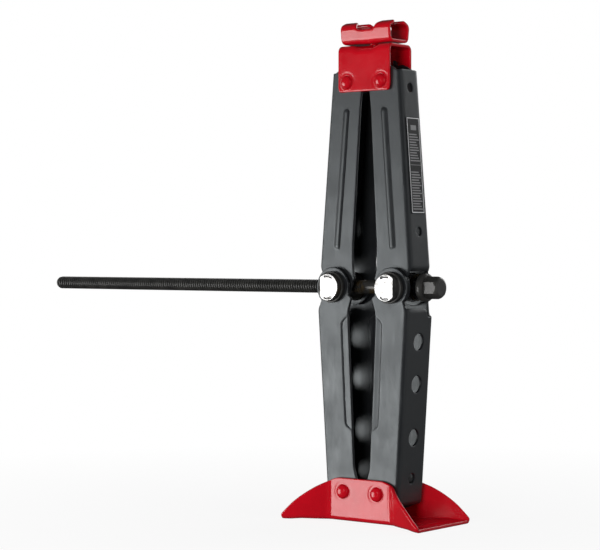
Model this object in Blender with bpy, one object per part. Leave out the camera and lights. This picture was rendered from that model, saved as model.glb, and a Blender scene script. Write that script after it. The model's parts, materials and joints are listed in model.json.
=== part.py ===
"""Scissor stabilizer jack, shown raised close to its full height.

Frame: +X along the lead screw towards its drive end, +Y along the hinge pins, +Z up.
The origin is the centre of the base's underside. All sizes are in metres.

Two lower and two upper channel arms make a diamond. Their outer corners turn on two
trunnions, a nut on the left and a thrust block on the right, and the screw draws the
trunnions together. Gear teeth at the base and head ends of the arms keep both sides level.
"""

import math

import bmesh
import bpy
from mathutils import Matrix, Vector

# Driving dimensions of the linkage
PIVOT_X = 0.0160  # half the distance between the two base pivots, and between the head pivots
BASE_PIVOT_Z = 0.0235
TRUNNION_X = 0.0277  # half the distance between the trunnions in the raised pose
ARM_RISE = 0.1574  # height from each pivot of an arm to its other one in the raised pose
LINK = math.hypot(TRUNNION_X - PIVOT_X, ARM_RISE)
TILT = math.atan2(TRUNNION_X - PIVOT_X, ARM_RISE)
TRUNNION_Z = BASE_PIVOT_Z + ARM_RISE
HEAD_PIVOT_Z = TRUNNION_Z + ARM_RISE

GAP = 0.0003  # clearance between neighbours
SIDES = 32  # facets of a full circle on the larger round pieces
SMALL_SIDES = 20
TOOL_REACH = 0.0300  # how far a cutting tool goes out from the middle, past every wall

# Channel arms: a pressed sheet with its web outside and its flanges towards the centre
ARM_SHEET = 0.0023
ARM_BEND = 0.0032
LOWER_HALF_AT_BASE = 0.0168
LOWER_HALF_AT_TRUNNION = 0.0174
LOWER_WEB_AT_BASE = 0.0182
LOWER_WEB_AT_TRUNNION = 0.0166
UPPER_HALF_AT_TRUNNION = 0.0134
UPPER_HALF_AT_HEAD = 0.0122
UPPER_WEB_AT_TRUNNION = 0.0172
UPPER_WEB_AT_HEAD = 0.0168
LOWER_EAR_RADIUS = 0.0153
UPPER_EAR_RADIUS = 0.0143
EAR_CLEAR_X = 0.0245  # an arm's outline runs here where only its web limits it
WEB_CUT_X = 0.0128  # the web and its bends are cut away outside this at both ends of an arm
LOWER_WEB_START = -0.0075  # from the base pivot along the arm
LOWER_WEB_END = 0.0155  # short of the trunnion
UPPER_WEB_START = 0.0130  # from the trunnion along the arm
UPPER_WEB_END = 0.0070  # past the head pivot
# Flanges' free edges, as distance from the trunnion along the arm and place across it. The
# back flanges are wider near the trunnions.
LOWER_FREE_EDGE = ((0.0060, -0.0150), (0.0200, -0.0128), (LINK - 0.0160, -0.0095))
LOWER_BACK_EDGE = ((0.0050, -0.0165), (0.0200, -0.0165), (0.0600, -0.0150), (LINK - 0.0160, -0.0095))
UPPER_FREE_EDGE = ((0.0080, -0.0136), (0.0300, -0.0126), (LINK - 0.0200, -0.0117))
UPPER_BACK_EDGE = ((0.0030, -0.0155), (0.0120, -0.0165), (0.0220, -0.0180), (0.0430, -0.0180))
UPPER_BACK_EDGE += ((0.0900, -0.0128), (LINK - 0.0200, -0.0117))
# Holes in the webs, as distance from the trunnion along the arm and radius
LOWER_WEB_HOLES = ((0.0402, 0.0065), (0.0724, 0.0065), (0.1132, 0.0065), (0.1447, 0.0040))
UPPER_WEB_HOLES = ((0.0414, 0.0035), (0.1512, 0.0035))

# Pressed ribs on the upper arms' flanges
RIB_HEIGHT = 0.0010
RIB_START = 0.0275  # from the trunnion along the arm
RIB_END = 0.1375
RIB_HALF = 0.0042
RIB_CROWN_HALF = 0.0016

# Gear sectors on the pivot ends of the arms
GEAR_TEETH = 16  # of a full wheel
GEAR_MODULE = 2 * PIVOT_X / GEAR_TEETH
GEAR_PRESSURE_ANGLE = math.radians(25)
GEAR_ADDENDUM = 0.0018
GEAR_DEDENDUM = 0.0024
GEAR_BACKLASH = 0.0003  # taken off each tooth at the pitch circle
FOLD_TRAVEL = math.radians(79)
SECTOR_BEFORE = math.radians(20)  # sector's reach past the mesh point in the raised pose
SECTOR_AFTER = math.radians(26)  # and past the mesh point in the folded pose
GEAR_PHASE = 0.25  # share of a tooth pitch that centres the teeth on a level side

# Pivot rivets and trunnions
RIVET_RADIUS = 0.0045
RIVET_HEAD_RADIUS = 0.0057
RIVET_HEAD_HEIGHT = 0.0034
TRUNNION_RADIUS = 0.0105
TRUNNION_HALF_LENGTH = 0.0244
TRUNNION_FLAT = 0.0070  # from the trunnion's axis to the flat on each end's outer side
SEAT_FLAT = 0.0085  # from the thrust block's axis to its seat for the bearing
END_FLAT_LENGTH = 0.0055
TRUNNION_EDGE = 0.0008  # chamfer round its ends
COLLAR_RADIUS = 0.0121
COLLAR_LENGTH = 0.0031
WASHER_RADIUS = 0.0136

# Lead screw
SCREW_RADIUS = 0.0053
SCREW_TIP_X = -0.3461
RACE_THICKNESS = 0.0022
RACE_RADIUS = 0.0100
BALL_RADIUS = 0.0016
BALL_CIRCLE = 0.0076
BALLS = 8
FLANGE_X = 0.0457
FLANGE_RADIUS = 0.0108
HEX_X = 0.0505
HEX_END_X = 0.0623
HEX_ACROSS_FLATS = 0.0148
LOCK_RING_RADIUS = 0.0078
LOCK_RING_LENGTH = 0.0032

# Base plate: a shallow channel whose walls flare towards the open ends
BASE_HALF_LENGTH = 0.0650
BASE_SHEET = 0.0025
BASE_BEND = 0.0035
BASE_WAIST = LOWER_HALF_AT_BASE + GAP + BASE_SHEET
BASE_CORNER = 0.0360
BASE_WALL_HEIGHT = 0.0340
BASE_CORNER_HEIGHT = 0.0036
BASE_FALL_START = 0.0205  # the walls' tops fall from here to the ends
BASE_FLARE_START = 0.0305  # and the walls spread from here
BASE_LEAN = math.radians(22)  # of the walls at the ends

# Head bracket, an inverted channel, and the slotted saddle on top of it
BRACKET_SHEET = 0.0024
BRACKET_BEND = 0.0034
BRACKET_HALF_LENGTH = 0.0243
BRACKET_HALF = UPPER_HALF_AT_HEAD + GAP + BRACKET_SHEET
BRACKET_BOTTOM = 0.3308
BRACKET_TOP = 0.3667
BRACKET_CORNER = 0.0050
BRACKET_DIP = 0.0024  # depth of the trough across the middle of its top
DIP_FLAT_X = 0.0064
DIP_END_X = 0.0150
SADDLE_BOTTOM = 0.3679
SADDLE_TOP = 0.3850
SADDLE_HALF_LENGTH = 0.0233
SADDLE_HALF = 0.0130
SADDLE_SHEET = 0.0024
SADDLE_BEND = 0.0048
SADDLE_LIP_BEND = 0.0050
SADDLE_SHOULDER = 0.0060  # the lip starts to curl this far below the top
SADDLE_SLOT_HALF = 0.0056
SADDLE_NOTCH_HALF = 0.0074
SADDLE_NOTCH_FLOOR = 0.3785
SADDLE_RIVET_RADIUS = 0.0035
SADDLE_RIVET_SHOULDER = 0.0056

# Generic blank label on the right upper arm's web
LABEL_LOW = 0.0550  # from the trunnion along the arm
LABEL_HIGH = 0.1285
LABEL_WIDTH = 0.0170
LABEL_THICKNESS = 0.0003

RED = ((0.60, 0.010, 0.018), 0.30, 0.0)
BLACK = ((0.022, 0.023, 0.025), 0.42, 0.0)
PHOSPHATE = ((0.030, 0.030, 0.032), 0.38, 0.6)
BRIGHT_STEEL = ((0.72, 0.72, 0.70), 0.25, 1.0)
ZINC = ((0.30, 0.30, 0.31), 0.35, 1.0)
BEARING_STEEL = ((0.55, 0.55, 0.56), 0.15, 1.0)
BRASS = ((0.55, 0.40, 0.16), 0.35, 1.0)
LABEL = ((0.015, 0.015, 0.016), 0.30, 0.0)


# ---------------------------------------------------------------- scene helpers


def clear_scene():
    for old in list(bpy.data.objects):
        bpy.data.objects.remove(old, do_unlink=True)


def material(name, finish):
    colour, roughness, metallic = finish
    made = bpy.data.materials.new(name)
    made.use_nodes = True
    shader = made.node_tree.nodes["Principled BSDF"]
    shader.inputs["Base Color"].default_value = (*colour, 1.0)
    shader.inputs["Roughness"].default_value = roughness
    shader.inputs["Metallic"].default_value = metallic
    made.diffuse_color = (*colour, 1.0)
    return made


def hinge(name, at, parent=None):
    """Empty on a joint's axis. Its children move with the joint."""
    empty = bpy.data.objects.new(name, None)
    bpy.context.scene.collection.objects.link(empty)
    empty.parent = parent
    empty.location = Vector(at) - world_place(parent)
    empty["place"] = list(at)
    return empty


def world_place(empty):
    return Vector(empty["place"]) if empty else Vector((0, 0, 0))


def part(name, bm, finish, parent=None, at=None, tilt=0.0):
    """Named object from a mesh. at is its origin in the frame, tilt its turn about +Y."""
    mesh = bpy.data.meshes.new(name)
    bm.to_mesh(mesh)
    bm.free()
    mesh.shade_smooth()
    mesh.set_sharp_from_angle(angle=math.radians(35))
    made = bpy.data.objects.new(name, mesh)
    mesh.materials.append(material(name + "_finish", finish))
    bpy.context.scene.collection.objects.link(made)
    made.parent = parent
    made.location = Vector(at) - world_place(parent) if at else (0, 0, 0)
    made.rotation_euler = (0, tilt, 0)
    return made


def boolean(target, bm, operation):
    """Joins, cuts or trims target with a hidden tool given in target's own coordinates."""
    count = len(target.modifiers)
    mesh = bpy.data.meshes.new(f"{target.name}_tool{count}")
    bm.to_mesh(mesh)
    bm.free()
    tool = bpy.data.objects.new(mesh.name, mesh)
    bpy.context.scene.collection.objects.link(tool)
    tool.parent = target
    tool.hide_render = True
    tool.display_type = "WIRE"
    step = target.modifiers.new(f"{operation.lower()}_{count}", "BOOLEAN")
    step.operation = operation
    step.solver = "EXACT"
    step.object = tool


# ---------------------------------------------------------------- shape helpers


def arc(centre, radius, start, end, steps):
    """Points of an arc in a plane, with both ends. Angles are in radians."""
    turns = [start + (end - start) * i / steps for i in range(steps + 1)]
    return [(centre[0] + radius * math.cos(a), centre[1] + radius * math.sin(a)) for a in turns]


def rounded_rectangle(low, high, radius, steps=4):
    corners = (
        ((high[0] - radius, low[1] + radius), -math.pi / 2),
        ((high[0] - radius, high[1] - radius), 0.0),
        ((low[0] + radius, high[1] - radius), math.pi / 2),
        ((low[0] + radius, low[1] + radius), math.pi),
    )
    points = []
    for centre, start in corners:
        points += arc(centre, radius, start, start + math.pi / 2, steps)
    return points


def loft(rings):
    """Closed solid through rings of as many points each, capped at both ends."""
    bm = bmesh.new()
    rows = [[bm.verts.new(point) for point in ring] for ring in rings]
    count = len(rows[0])
    for low, high in zip(rows, rows[1:]):
        for i in range(count):
            j = (i + 1) % count
            bm.faces.new((low[i], low[j], high[j], high[i]))
    bm.faces.new(rows[0][::-1])
    bm.faces.new(rows[-1])
    bmesh.ops.recalc_face_normals(bm, faces=bm.faces)
    return bm


def prism(outline, axis, low, high):
    """Outline extruded along an axis. Its two coordinates are the other axes in X, Y, Z order."""

    def lift(point, along):
        a, b = point
        return {"X": (along, a, b), "Y": (a, along, b), "Z": (a, b, along)}[axis]

    return loft([[lift(p, low) for p in outline], [lift(p, high) for p in outline]])


def turned(profile, axis, sides, closed=False):
    """Solid of revolution about an axis through the origin. profile holds (radius, along)
    points, and a closed profile makes a ring."""
    bm = bmesh.new()
    verts = [bm.verts.new((radius, along, 0.0)) for radius, along in profile]
    edges = [bm.edges.new(pair) for pair in zip(verts, verts[1:])]
    if closed:
        edges.append(bm.edges.new((verts[-1], verts[0])))
    bmesh.ops.spin(
        bm, geom=verts + edges, cent=(0, 0, 0), axis=(0, 1, 0), angle=2 * math.pi,
        steps=sides, use_merge=True,
    )
    bmesh.ops.remove_doubles(bm, verts=bm.verts, dist=1e-6)
    turn = {
        "X": Matrix.Rotation(-math.pi / 2, 4, "Z"),
        "Y": Matrix.Identity(4),
        "Z": Matrix.Rotation(math.pi / 2, 4, "X"),
    }[axis]
    bm.transform(turn)
    bmesh.ops.recalc_face_normals(bm, faces=bm.faces)
    return bm


def rod(radius, low, high, axis, sides=SMALL_SIDES):
    return turned([(0, low), (radius, low), (radius, high), (0, high)], axis, sides)


def ring(inner, outer, low, high, axis, sides=SIDES):
    profile = [(inner, low), (outer, low), (outer, high), (inner, high)]
    return turned(profile, axis, sides, closed=True)


def moved(bm, offset):
    bm.transform(Matrix.Translation(offset))
    return bm


def merged(pieces):
    """One mesh of separate closed bodies."""
    bm = bmesh.new()
    for piece in pieces:
        mesh = bpy.data.meshes.new("piece")
        piece.to_mesh(mesh)
        piece.free()
        bm.from_mesh(mesh)
        bpy.data.meshes.remove(mesh)
    return bm


# ---------------------------------------------------------------- arms


def involute(angle):
    return math.tan(angle) - angle


def gear_outline(first, last, phase):
    """Sector outline as (angle, radius) from angle first to last. A tooth is centred at phase
    and at every pitch angle from it, and the flanks are involutes."""
    pitch_angle = 2 * math.pi / GEAR_TEETH
    root = PIVOT_X - GEAR_DEDENDUM
    tip = PIVOT_X + GEAR_ADDENDUM
    base_circle = PIVOT_X * math.cos(GEAR_PRESSURE_ANGLE)
    half_tooth = (math.pi * GEAR_MODULE / 2 - GEAR_BACKLASH) / 2 / PIVOT_X
    flank_low = max(root, base_circle)
    flank = []
    for i in range(3):
        radius = flank_low + (tip - flank_low) * i / 2
        turn = involute(math.acos(min(1.0, base_circle / radius)))
        flank.append((half_tooth + involute(GEAR_PRESSURE_ANGLE) - turn, radius))
    side = [(flank[0][0] + 0.01, root)] + flank
    count = math.ceil((phase - first) / pitch_angle)
    centre = phase - count * pitch_angle
    points = [(first, root)]
    while centre < last:
        if centre - side[0][0] > first and centre + side[0][0] < last:
            points += [(centre - half, radius) for half, radius in side]
            points += [(centre + half, radius) for half, radius in reversed(side)]
        centre += pitch_angle
    return points + [(last, root)]


def gear_end(side):
    """End of an arm as (v, u) points round its pivot, v outwards and u along the arm. The
    gear sector runs from the free edge round the end, and a plain arc meets the web."""
    phase = TILT + side * GEAR_PHASE * 2 * math.pi / GEAR_TEETH
    outline = gear_outline(-SECTOR_BEFORE, FOLD_TRAVEL + SECTOR_AFTER, phase)
    points = [(-r * math.cos(b), -r * math.sin(b)) for b, r in outline]
    root = PIVOT_X - GEAR_DEDENDUM
    return points + arc((0, 0), root, math.radians(-65), math.radians(-52), 2)


def channel_ring(u, half, web, free):
    """Section of a channel arm across its length, as (v, y, u) points."""
    centre = (web - ARM_BEND, half - ARM_BEND)
    near = (centre[0], -centre[1])
    inner = ARM_BEND - ARM_SHEET
    outline = [(free, -half)]
    outline += arc(near, ARM_BEND, -math.pi / 2, 0, 3)
    outline += arc(centre, ARM_BEND, 0, math.pi / 2, 3)
    outline += [(free, half), (free, half - ARM_SHEET)]
    outline += arc(centre, inner, math.pi / 2, 0, 2)
    outline += arc(near, inner, 0, -math.pi / 2, 2)
    outline += [(free, -half + ARM_SHEET)]
    return [(v, y, u) for v, y in outline]


def arm_shell(side, low, high):
    """Channel along +Z. low and high hold (u, half width, web place) near its two ends, and
    side is +1 on the right."""
    rings = []
    for u in (low[0] - TOOL_REACH, high[0] + TOOL_REACH):
        share = (u - low[0]) / (high[0] - low[0])
        half = low[1] + (high[1] - low[1]) * share
        web = low[2] + (high[2] - low[2]) * share
        section = channel_ring(u, half, web, -TOOL_REACH)
        rings.append([(side * v, y, along) for v, y, along in section])
    return loft(rings)


def trim_profile(arm, side, outline, front_edge):
    """Trims an arm seen from the side to an outline, and its front flange to a free edge
    that lies further in. Both are (v, u) points."""
    outline = [(side * v, u) for v, u in outline]
    boolean(arm, prism(outline, "Y", -TOOL_REACH, TOOL_REACH), "INTERSECT")
    first, last = front_edge[0], front_edge[-1]
    beyond = [(-TOOL_REACH, last[1]), (-TOOL_REACH, first[1])]
    notch = [(side * v, u) for v, u in [*front_edge, *beyond]]
    boolean(arm, prism(notch, "Y", -TOOL_REACH, 0.0), "DIFFERENCE")


def cross_hole(radius, u, sides):
    """Tool for a hole along Y through both flanges."""
    return moved(rod(radius + GAP, -TOOL_REACH, TOOL_REACH, "Y", sides), (0, 0, u))


def web_relief(side, half, low, high):
    """Tool that opens an arm's web between its flanges from u low to high."""
    inside = half - ARM_SHEET + 0.0002
    near, far = side * WEB_CUT_X, side * TOOL_REACH
    outline = [(near, low), (far, low), (far, high), (near, high)]
    return prism(outline, "Y", -inside, inside)


def web_hole(side, u, radius):
    low, high = sorted((side * PIVOT_X / 2, side * TOOL_REACH))
    return moved(rod(radius, low, high, "X"), (0, 0, u))


def flange_rib(side, face, half):
    """Pressed rib along an upper arm's flange. face is +1 at the back and -1 at the front."""

    def stadium(radius, depth):
        lower = arc((side * 0.0010, RIB_START + RIB_HALF), radius, math.pi, 2 * math.pi, 6)
        upper = arc((side * 0.0002, RIB_END - RIB_HALF), radius, 0, math.pi, 6)
        return [(v, face * depth, u) for v, u in lower + upper]

    root = stadium(RIB_HALF, half - ARM_SHEET / 2)
    foot = stadium(RIB_HALF, half - 0.0004)
    return loft([root, foot, stadium(RIB_CROWN_HALF, half + RIB_HEIGHT)])


def lower_arm(side, parent):
    """Lower arm in its own frame: origin on the base pivot, +Z along the arm."""
    at_base = (0.0, LOWER_HALF_AT_BASE, LOWER_WEB_AT_BASE)
    at_trunnion = (LINK, LOWER_HALF_AT_TRUNNION, LOWER_WEB_AT_TRUNNION)
    name = "lower_arm_right" if side > 0 else "lower_arm_left"
    at = (side * PIVOT_X, 0, BASE_PIVOT_Z)
    arm = part(name, arm_shell(side, at_base, at_trunnion), BLACK, parent, at, side * TILT)
    web_end = LINK - LOWER_WEB_END
    outline = gear_end(side)
    outline += [(EAR_CLEAR_X, LOWER_WEB_START), (EAR_CLEAR_X, web_end)]
    outline += arc((0, LINK), LOWER_EAR_RADIUS, 0, math.pi, 16)
    outline += [(v, LINK - below) for below, v in LOWER_BACK_EDGE]
    front_edge = [(-LOWER_EAR_RADIUS, LINK), *[(v, LINK - below) for below, v in LOWER_FREE_EDGE]]
    trim_profile(arm, side, outline, front_edge)
    cuts = [
        cross_hole(RIVET_RADIUS, 0, SMALL_SIDES),
        cross_hole(TRUNNION_RADIUS, LINK, SIDES),
        web_relief(side, LOWER_HALF_AT_BASE, LOWER_WEB_START, -TOOL_REACH),
        web_relief(side, LOWER_HALF_AT_TRUNNION, web_end, LINK + TOOL_REACH),
    ]
    cuts += [web_hole(side, LINK - below, radius) for below, radius in LOWER_WEB_HOLES]
    boolean(arm, merged(cuts), "DIFFERENCE")


def upper_arm(side, parent):
    """Upper arm in its own frame: origin on the trunnion's axis, +Z up along the arm."""
    at_trunnion = (0.0, UPPER_HALF_AT_TRUNNION, UPPER_WEB_AT_TRUNNION)
    at_head = (LINK, UPPER_HALF_AT_HEAD, UPPER_WEB_AT_HEAD)
    name = "upper_arm_right" if side > 0 else "upper_arm_left"
    at = (side * TRUNNION_X, 0, TRUNNION_Z)
    arm = part(name, arm_shell(side, at_trunnion, at_head), BLACK, parent, at, -side * TILT)
    web_end = LINK + UPPER_WEB_END
    outline = [(v, LINK - u) for v, u in gear_end(side)]
    outline += [(EAR_CLEAR_X, web_end), (EAR_CLEAR_X, UPPER_WEB_START)]
    outline += arc((0, 0), UPPER_EAR_RADIUS, 0, -math.pi, 16)
    outline += [(v, above) for above, v in UPPER_BACK_EDGE]
    front_edge = [(-UPPER_EAR_RADIUS, 0.0), *[(v, above) for above, v in UPPER_FREE_EDGE]]
    trim_profile(arm, side, outline, front_edge)
    middle = (UPPER_HALF_AT_HEAD + UPPER_HALF_AT_TRUNNION) / 2
    boolean(arm, merged([flange_rib(side, face, middle) for face in (-1, 1)]), "UNION")
    cuts = [
        cross_hole(RIVET_RADIUS, LINK, SMALL_SIDES),
        cross_hole(TRUNNION_RADIUS, 0, SIDES),
        web_relief(side, UPPER_HALF_AT_TRUNNION, UPPER_WEB_START, -TOOL_REACH),
        web_relief(side, UPPER_HALF_AT_HEAD, web_end, LINK + TOOL_REACH),
    ]
    cuts += [web_hole(side, above, radius) for above, radius in UPPER_WEB_HOLES]
    boolean(arm, merged(cuts), "DIFFERENCE")


def label_plate(parent):
    """Thin blank label on the right upper arm's web."""
    web = UPPER_WEB_AT_TRUNNION + GAP
    half = LABEL_WIDTH / 2
    outline = rounded_rectangle((-half, LABEL_LOW), (half, LABEL_HIGH), 0.0010, 2)
    bm = prism(outline, "X", web, web + LABEL_THICKNESS)
    part("label_plate", bm, LABEL, parent, (TRUNNION_X, 0, TRUNNION_Z), -TILT)


# ---------------------------------------------------------------- base, head and saddle


def base_ring(x):
    """Section of the base plate across its length, as (x, y, z) points."""
    fall = max(0.0, (abs(x) - BASE_FALL_START) / (BASE_HALF_LENGTH - BASE_FALL_START))
    flare = max(0.0, (abs(x) - BASE_FLARE_START) / (BASE_HALF_LENGTH - BASE_FLARE_START))
    half = BASE_WAIST + (BASE_CORNER - BASE_WAIST) * flare**0.8
    top = BASE_WALL_HEIGHT - (BASE_WALL_HEIGHT - BASE_CORNER_HEIGHT) * fall**1.45
    lean = BASE_LEAN * flare
    centre = (half - BASE_BEND, BASE_BEND)
    up = (math.sin(lean), math.cos(lean))

    def wall(radius, steps):
        """Bend and wall at one surface of the sheet, from the sole to the wall's top."""
        points = arc(centre, radius, -math.pi / 2, -lean, steps)
        reach = (top - points[-1][1]) / up[1]
        return points + [(points[-1][0] + up[0] * reach, top)]

    outer = wall(BASE_BEND, 3)
    inner = wall(BASE_BEND - BASE_SHEET, 2)
    section = outer + inner[::-1]
    section += [(-y, z) for y, z in inner] + [(-y, z) for y, z in outer[::-1]]
    return [(x, y, z) for y, z in section]


def rivet_holes(z):
    """Tool for the two pivot holes through a bracket's walls, at a height."""
    hole = RIVET_RADIUS + GAP
    rods = [rod(hole, -TOOL_REACH, TOOL_REACH, "Y") for _ in range(2)]
    return merged([moved(bm, (x, 0, z)) for bm, x in zip(rods, (-PIVOT_X, PIVOT_X))])


def base_plate():
    spread = BASE_HALF_LENGTH - BASE_FLARE_START
    places = [BASE_FALL_START, (BASE_FALL_START + BASE_FLARE_START) / 2]
    places += [BASE_FLARE_START + spread * i / 6 for i in range(7)]
    places = [-x for x in reversed(places)] + places
    plate = part("base_plate", loft([base_ring(x) for x in places]), RED)
    boolean(plate, rivet_holes(BASE_PIVOT_Z), "DIFFERENCE")


def pivot_rivet(name, half, parent, at):
    """Round-headed rivet along Y through walls whose outer faces are half away."""
    seat = half + GAP
    head = [
        (RIVET_HEAD_RADIUS * math.cos(a), seat + 0.0006 + (RIVET_HEAD_HEIGHT - 0.0006) * math.sin(a))
        for a in (math.radians(22.5 * i) for i in range(4))
    ]
    one_end = [(RIVET_RADIUS, seat), (RIVET_HEAD_RADIUS, seat)] + head
    one_end.append((0, seat + RIVET_HEAD_HEIGHT))
    profile = [(r, -along) for r, along in reversed(one_end)] + one_end
    part(name, turned(profile, "Y", SMALL_SIDES), RED, parent, at)


def bracket_ring(x):
    """Section of the head bracket across its length. Its top dips in the middle."""
    slope = min(1.0, max(0.0, (abs(x) - DIP_FLAT_X) / (DIP_END_X - DIP_FLAT_X)))
    top = BRACKET_TOP - BRACKET_DIP * (1 + math.cos(math.pi * slope)) / 2
    centre = (BRACKET_HALF - BRACKET_BEND, top - BRACKET_BEND)
    outer = arc(centre, BRACKET_BEND, 0, math.pi / 2, 4)
    inner = arc(centre, BRACKET_BEND - BRACKET_SHEET, 0, math.pi / 2, 2)
    foot = BRACKET_BOTTOM
    outer = [(BRACKET_HALF, foot)] + outer
    inner = [(BRACKET_HALF - BRACKET_SHEET, foot)] + inner
    section = outer + [(-y, z) for y, z in outer[::-1]]
    section += [(-y, z) for y, z in inner] + inner[::-1]
    return [(x, y, z) for y, z in section]


def top_bracket(parent):
    slope = [DIP_FLAT_X + (DIP_END_X - DIP_FLAT_X) * i / 4 for i in range(5)]
    places = slope + [BRACKET_HALF_LENGTH]
    places = [-x for x in reversed(places)] + places
    bracket = part("top_bracket", loft([bracket_ring(x) for x in places]), RED, parent, (0, 0, 0))
    low = (-BRACKET_HALF_LENGTH - 0.0001, BRACKET_BOTTOM - 0.0001)
    high = (BRACKET_HALF_LENGTH + 0.0001, BRACKET_TOP + 0.0030)
    front = rounded_rectangle(low, high, BRACKET_CORNER)
    boolean(bracket, prism(front, "Y", -TOOL_REACH, TOOL_REACH), "INTERSECT")
    swivel_hole = rod(SADDLE_RIVET_RADIUS + GAP, HEAD_PIVOT_Z, SADDLE_TOP, "Z")
    boolean(bracket, merged([rivet_holes(HEAD_PIVOT_Z), swivel_hole]), "DIFFERENCE")


def saddle(parent):
    """Channel along X with its lips curled over a slot, notched across the middle."""
    floor = SADDLE_BOTTOM
    top = SADDLE_TOP

    def half_section(offset):
        """One side's outline at a depth of offset in the sheet, from the floor to the lip."""
        low_centre = (SADDLE_HALF - SADDLE_BEND, floor + SADDLE_BEND)
        high_centre = (SADDLE_HALF - SADDLE_LIP_BEND, top - SADDLE_SHOULDER)
        points = arc(low_centre, SADDLE_BEND - offset, -math.pi / 2, 0, 4)
        points += arc(high_centre, SADDLE_LIP_BEND - offset, 0, math.radians(62), 4)
        lip = [(SADDLE_SLOT_HALF + 0.0020, top - offset), (SADDLE_SLOT_HALF, top - offset)]
        return points + lip

    outer = half_section(0.0)
    inner = half_section(SADDLE_SHEET)
    section = outer + inner[::-1]
    section += [(-y, z) for y, z in inner] + [(-y, z) for y, z in outer[::-1]]
    bm = prism(section, "X", -SADDLE_HALF_LENGTH, SADDLE_HALF_LENGTH)
    made = part("saddle", bm, RED, parent, (0, 0, 0))
    low = (-SADDLE_NOTCH_HALF, SADDLE_NOTCH_FLOOR)
    notch = rounded_rectangle(low, (SADDLE_NOTCH_HALF, top + 0.010), 0.0018, 3)
    notch = prism(notch, "Y", -TOOL_REACH, TOOL_REACH)
    swivel_hole = rod(SADDLE_RIVET_RADIUS + GAP, floor - 0.002, floor + 0.004, "Z")
    boolean(made, merged([notch, swivel_hole]), "DIFFERENCE")


def saddle_rivet(parent):
    """Vertical rivet that the saddle turns on, with a shoulder between saddle and bracket."""
    dip_top = BRACKET_TOP - BRACKET_DIP
    floor = SADDLE_BOTTOM + SADDLE_SHEET
    under = dip_top - BRACKET_SHEET
    lower_head = [(0, under - GAP - 0.0018), (0.0046, under - GAP - 0.0018)]
    lower_head += [(0.0058, under - GAP), (SADDLE_RIVET_RADIUS, under - GAP)]
    shoulder = [(SADDLE_RIVET_RADIUS, dip_top + GAP), (SADDLE_RIVET_SHOULDER, dip_top + GAP)]
    shoulder += [(SADDLE_RIVET_SHOULDER, SADDLE_BOTTOM - GAP)]
    shoulder += [(SADDLE_RIVET_RADIUS, SADDLE_BOTTOM - GAP)]
    upper_head = [(SADDLE_RIVET_RADIUS, floor + GAP), (0.0062, floor + GAP)]
    upper_head += [(0.0052, floor + 0.0016), (0.0026, floor + 0.0023), (0, floor + 0.0024)]
    profile = lower_head + shoulder + upper_head
    part("saddle_rivet", turned(profile, "Z", SMALL_SIDES), RED, parent, (0, 0, 0))


# ---------------------------------------------------------------- trunnions and screw


def trunnion(name, side, seat, parent):
    """Cross pin that an arm pair turns on, with flats on its ends and a bore for the screw."""
    edge = TRUNNION_EDGE
    end = TRUNNION_HALF_LENGTH
    profile = [
        (0, -end),
        (TRUNNION_RADIUS - edge, -end),
        (TRUNNION_RADIUS, -end + edge),
        (TRUNNION_RADIUS, end - edge),
        (TRUNNION_RADIUS - edge, end),
        (0, end),
    ]
    at = (side * TRUNNION_X, 0, TRUNNION_Z)
    made = part(name, turned(profile, "Y", SIDES), BRIGHT_STEEL, parent, at)
    bore = rod(SCREW_RADIUS + GAP, -TOOL_REACH, TOOL_REACH, "X")
    boolean(made, bore, "DIFFERENCE")
    flats = []
    for face in (-1, 1):
        low, high = sorted((face * (end - END_FLAT_LENGTH), face * (end + 0.001)))
        flats.append(flat_tool(side, TRUNNION_FLAT, low, high))
    if seat:
        flats.append(flat_tool(side, SEAT_FLAT, -RACE_RADIUS - GAP, RACE_RADIUS + GAP))
    boolean(made, merged(flats), "DIFFERENCE")


def flat_tool(side, distance, low, high):
    """Tool that takes a trunnion's outer side down to a flat, between two places along Y."""
    near, far = side * distance, side * TOOL_REACH
    outline = [(near, -TOOL_REACH), (far, -TOOL_REACH), (far, TOOL_REACH), (near, TOOL_REACH)]
    return prism(outline, "Y", low, high)


def trunnion_rings(side, parent):
    """Spacer washers between the arms and pressed collars outside them, front and back."""
    at = (side * TRUNNION_X, 0, TRUNNION_Z)
    where = "right" if side > 0 else "left"
    washer_low = UPPER_HALF_AT_TRUNNION + GAP
    washer_high = LOWER_HALF_AT_TRUNNION - ARM_SHEET - GAP
    collar_low = LOWER_HALF_AT_TRUNNION + GAP
    for face, end in ((-1, "front"), (1, "back")):
        low, high = sorted((face * washer_low, face * washer_high))
        bm = ring(TRUNNION_RADIUS + GAP, WASHER_RADIUS, low, high, "Y")
        part(f"spacer_washer_{where}_{end}", bm, ZINC, parent, at)
        low, high = sorted((face * collar_low, face * (collar_low + COLLAR_LENGTH)))
        bm = ring(TRUNNION_RADIUS + GAP, COLLAR_RADIUS, low, high, "Y")
        part(f"trunnion_collar_{where}_{end}", bm, PHOSPHATE, parent, at)


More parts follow.
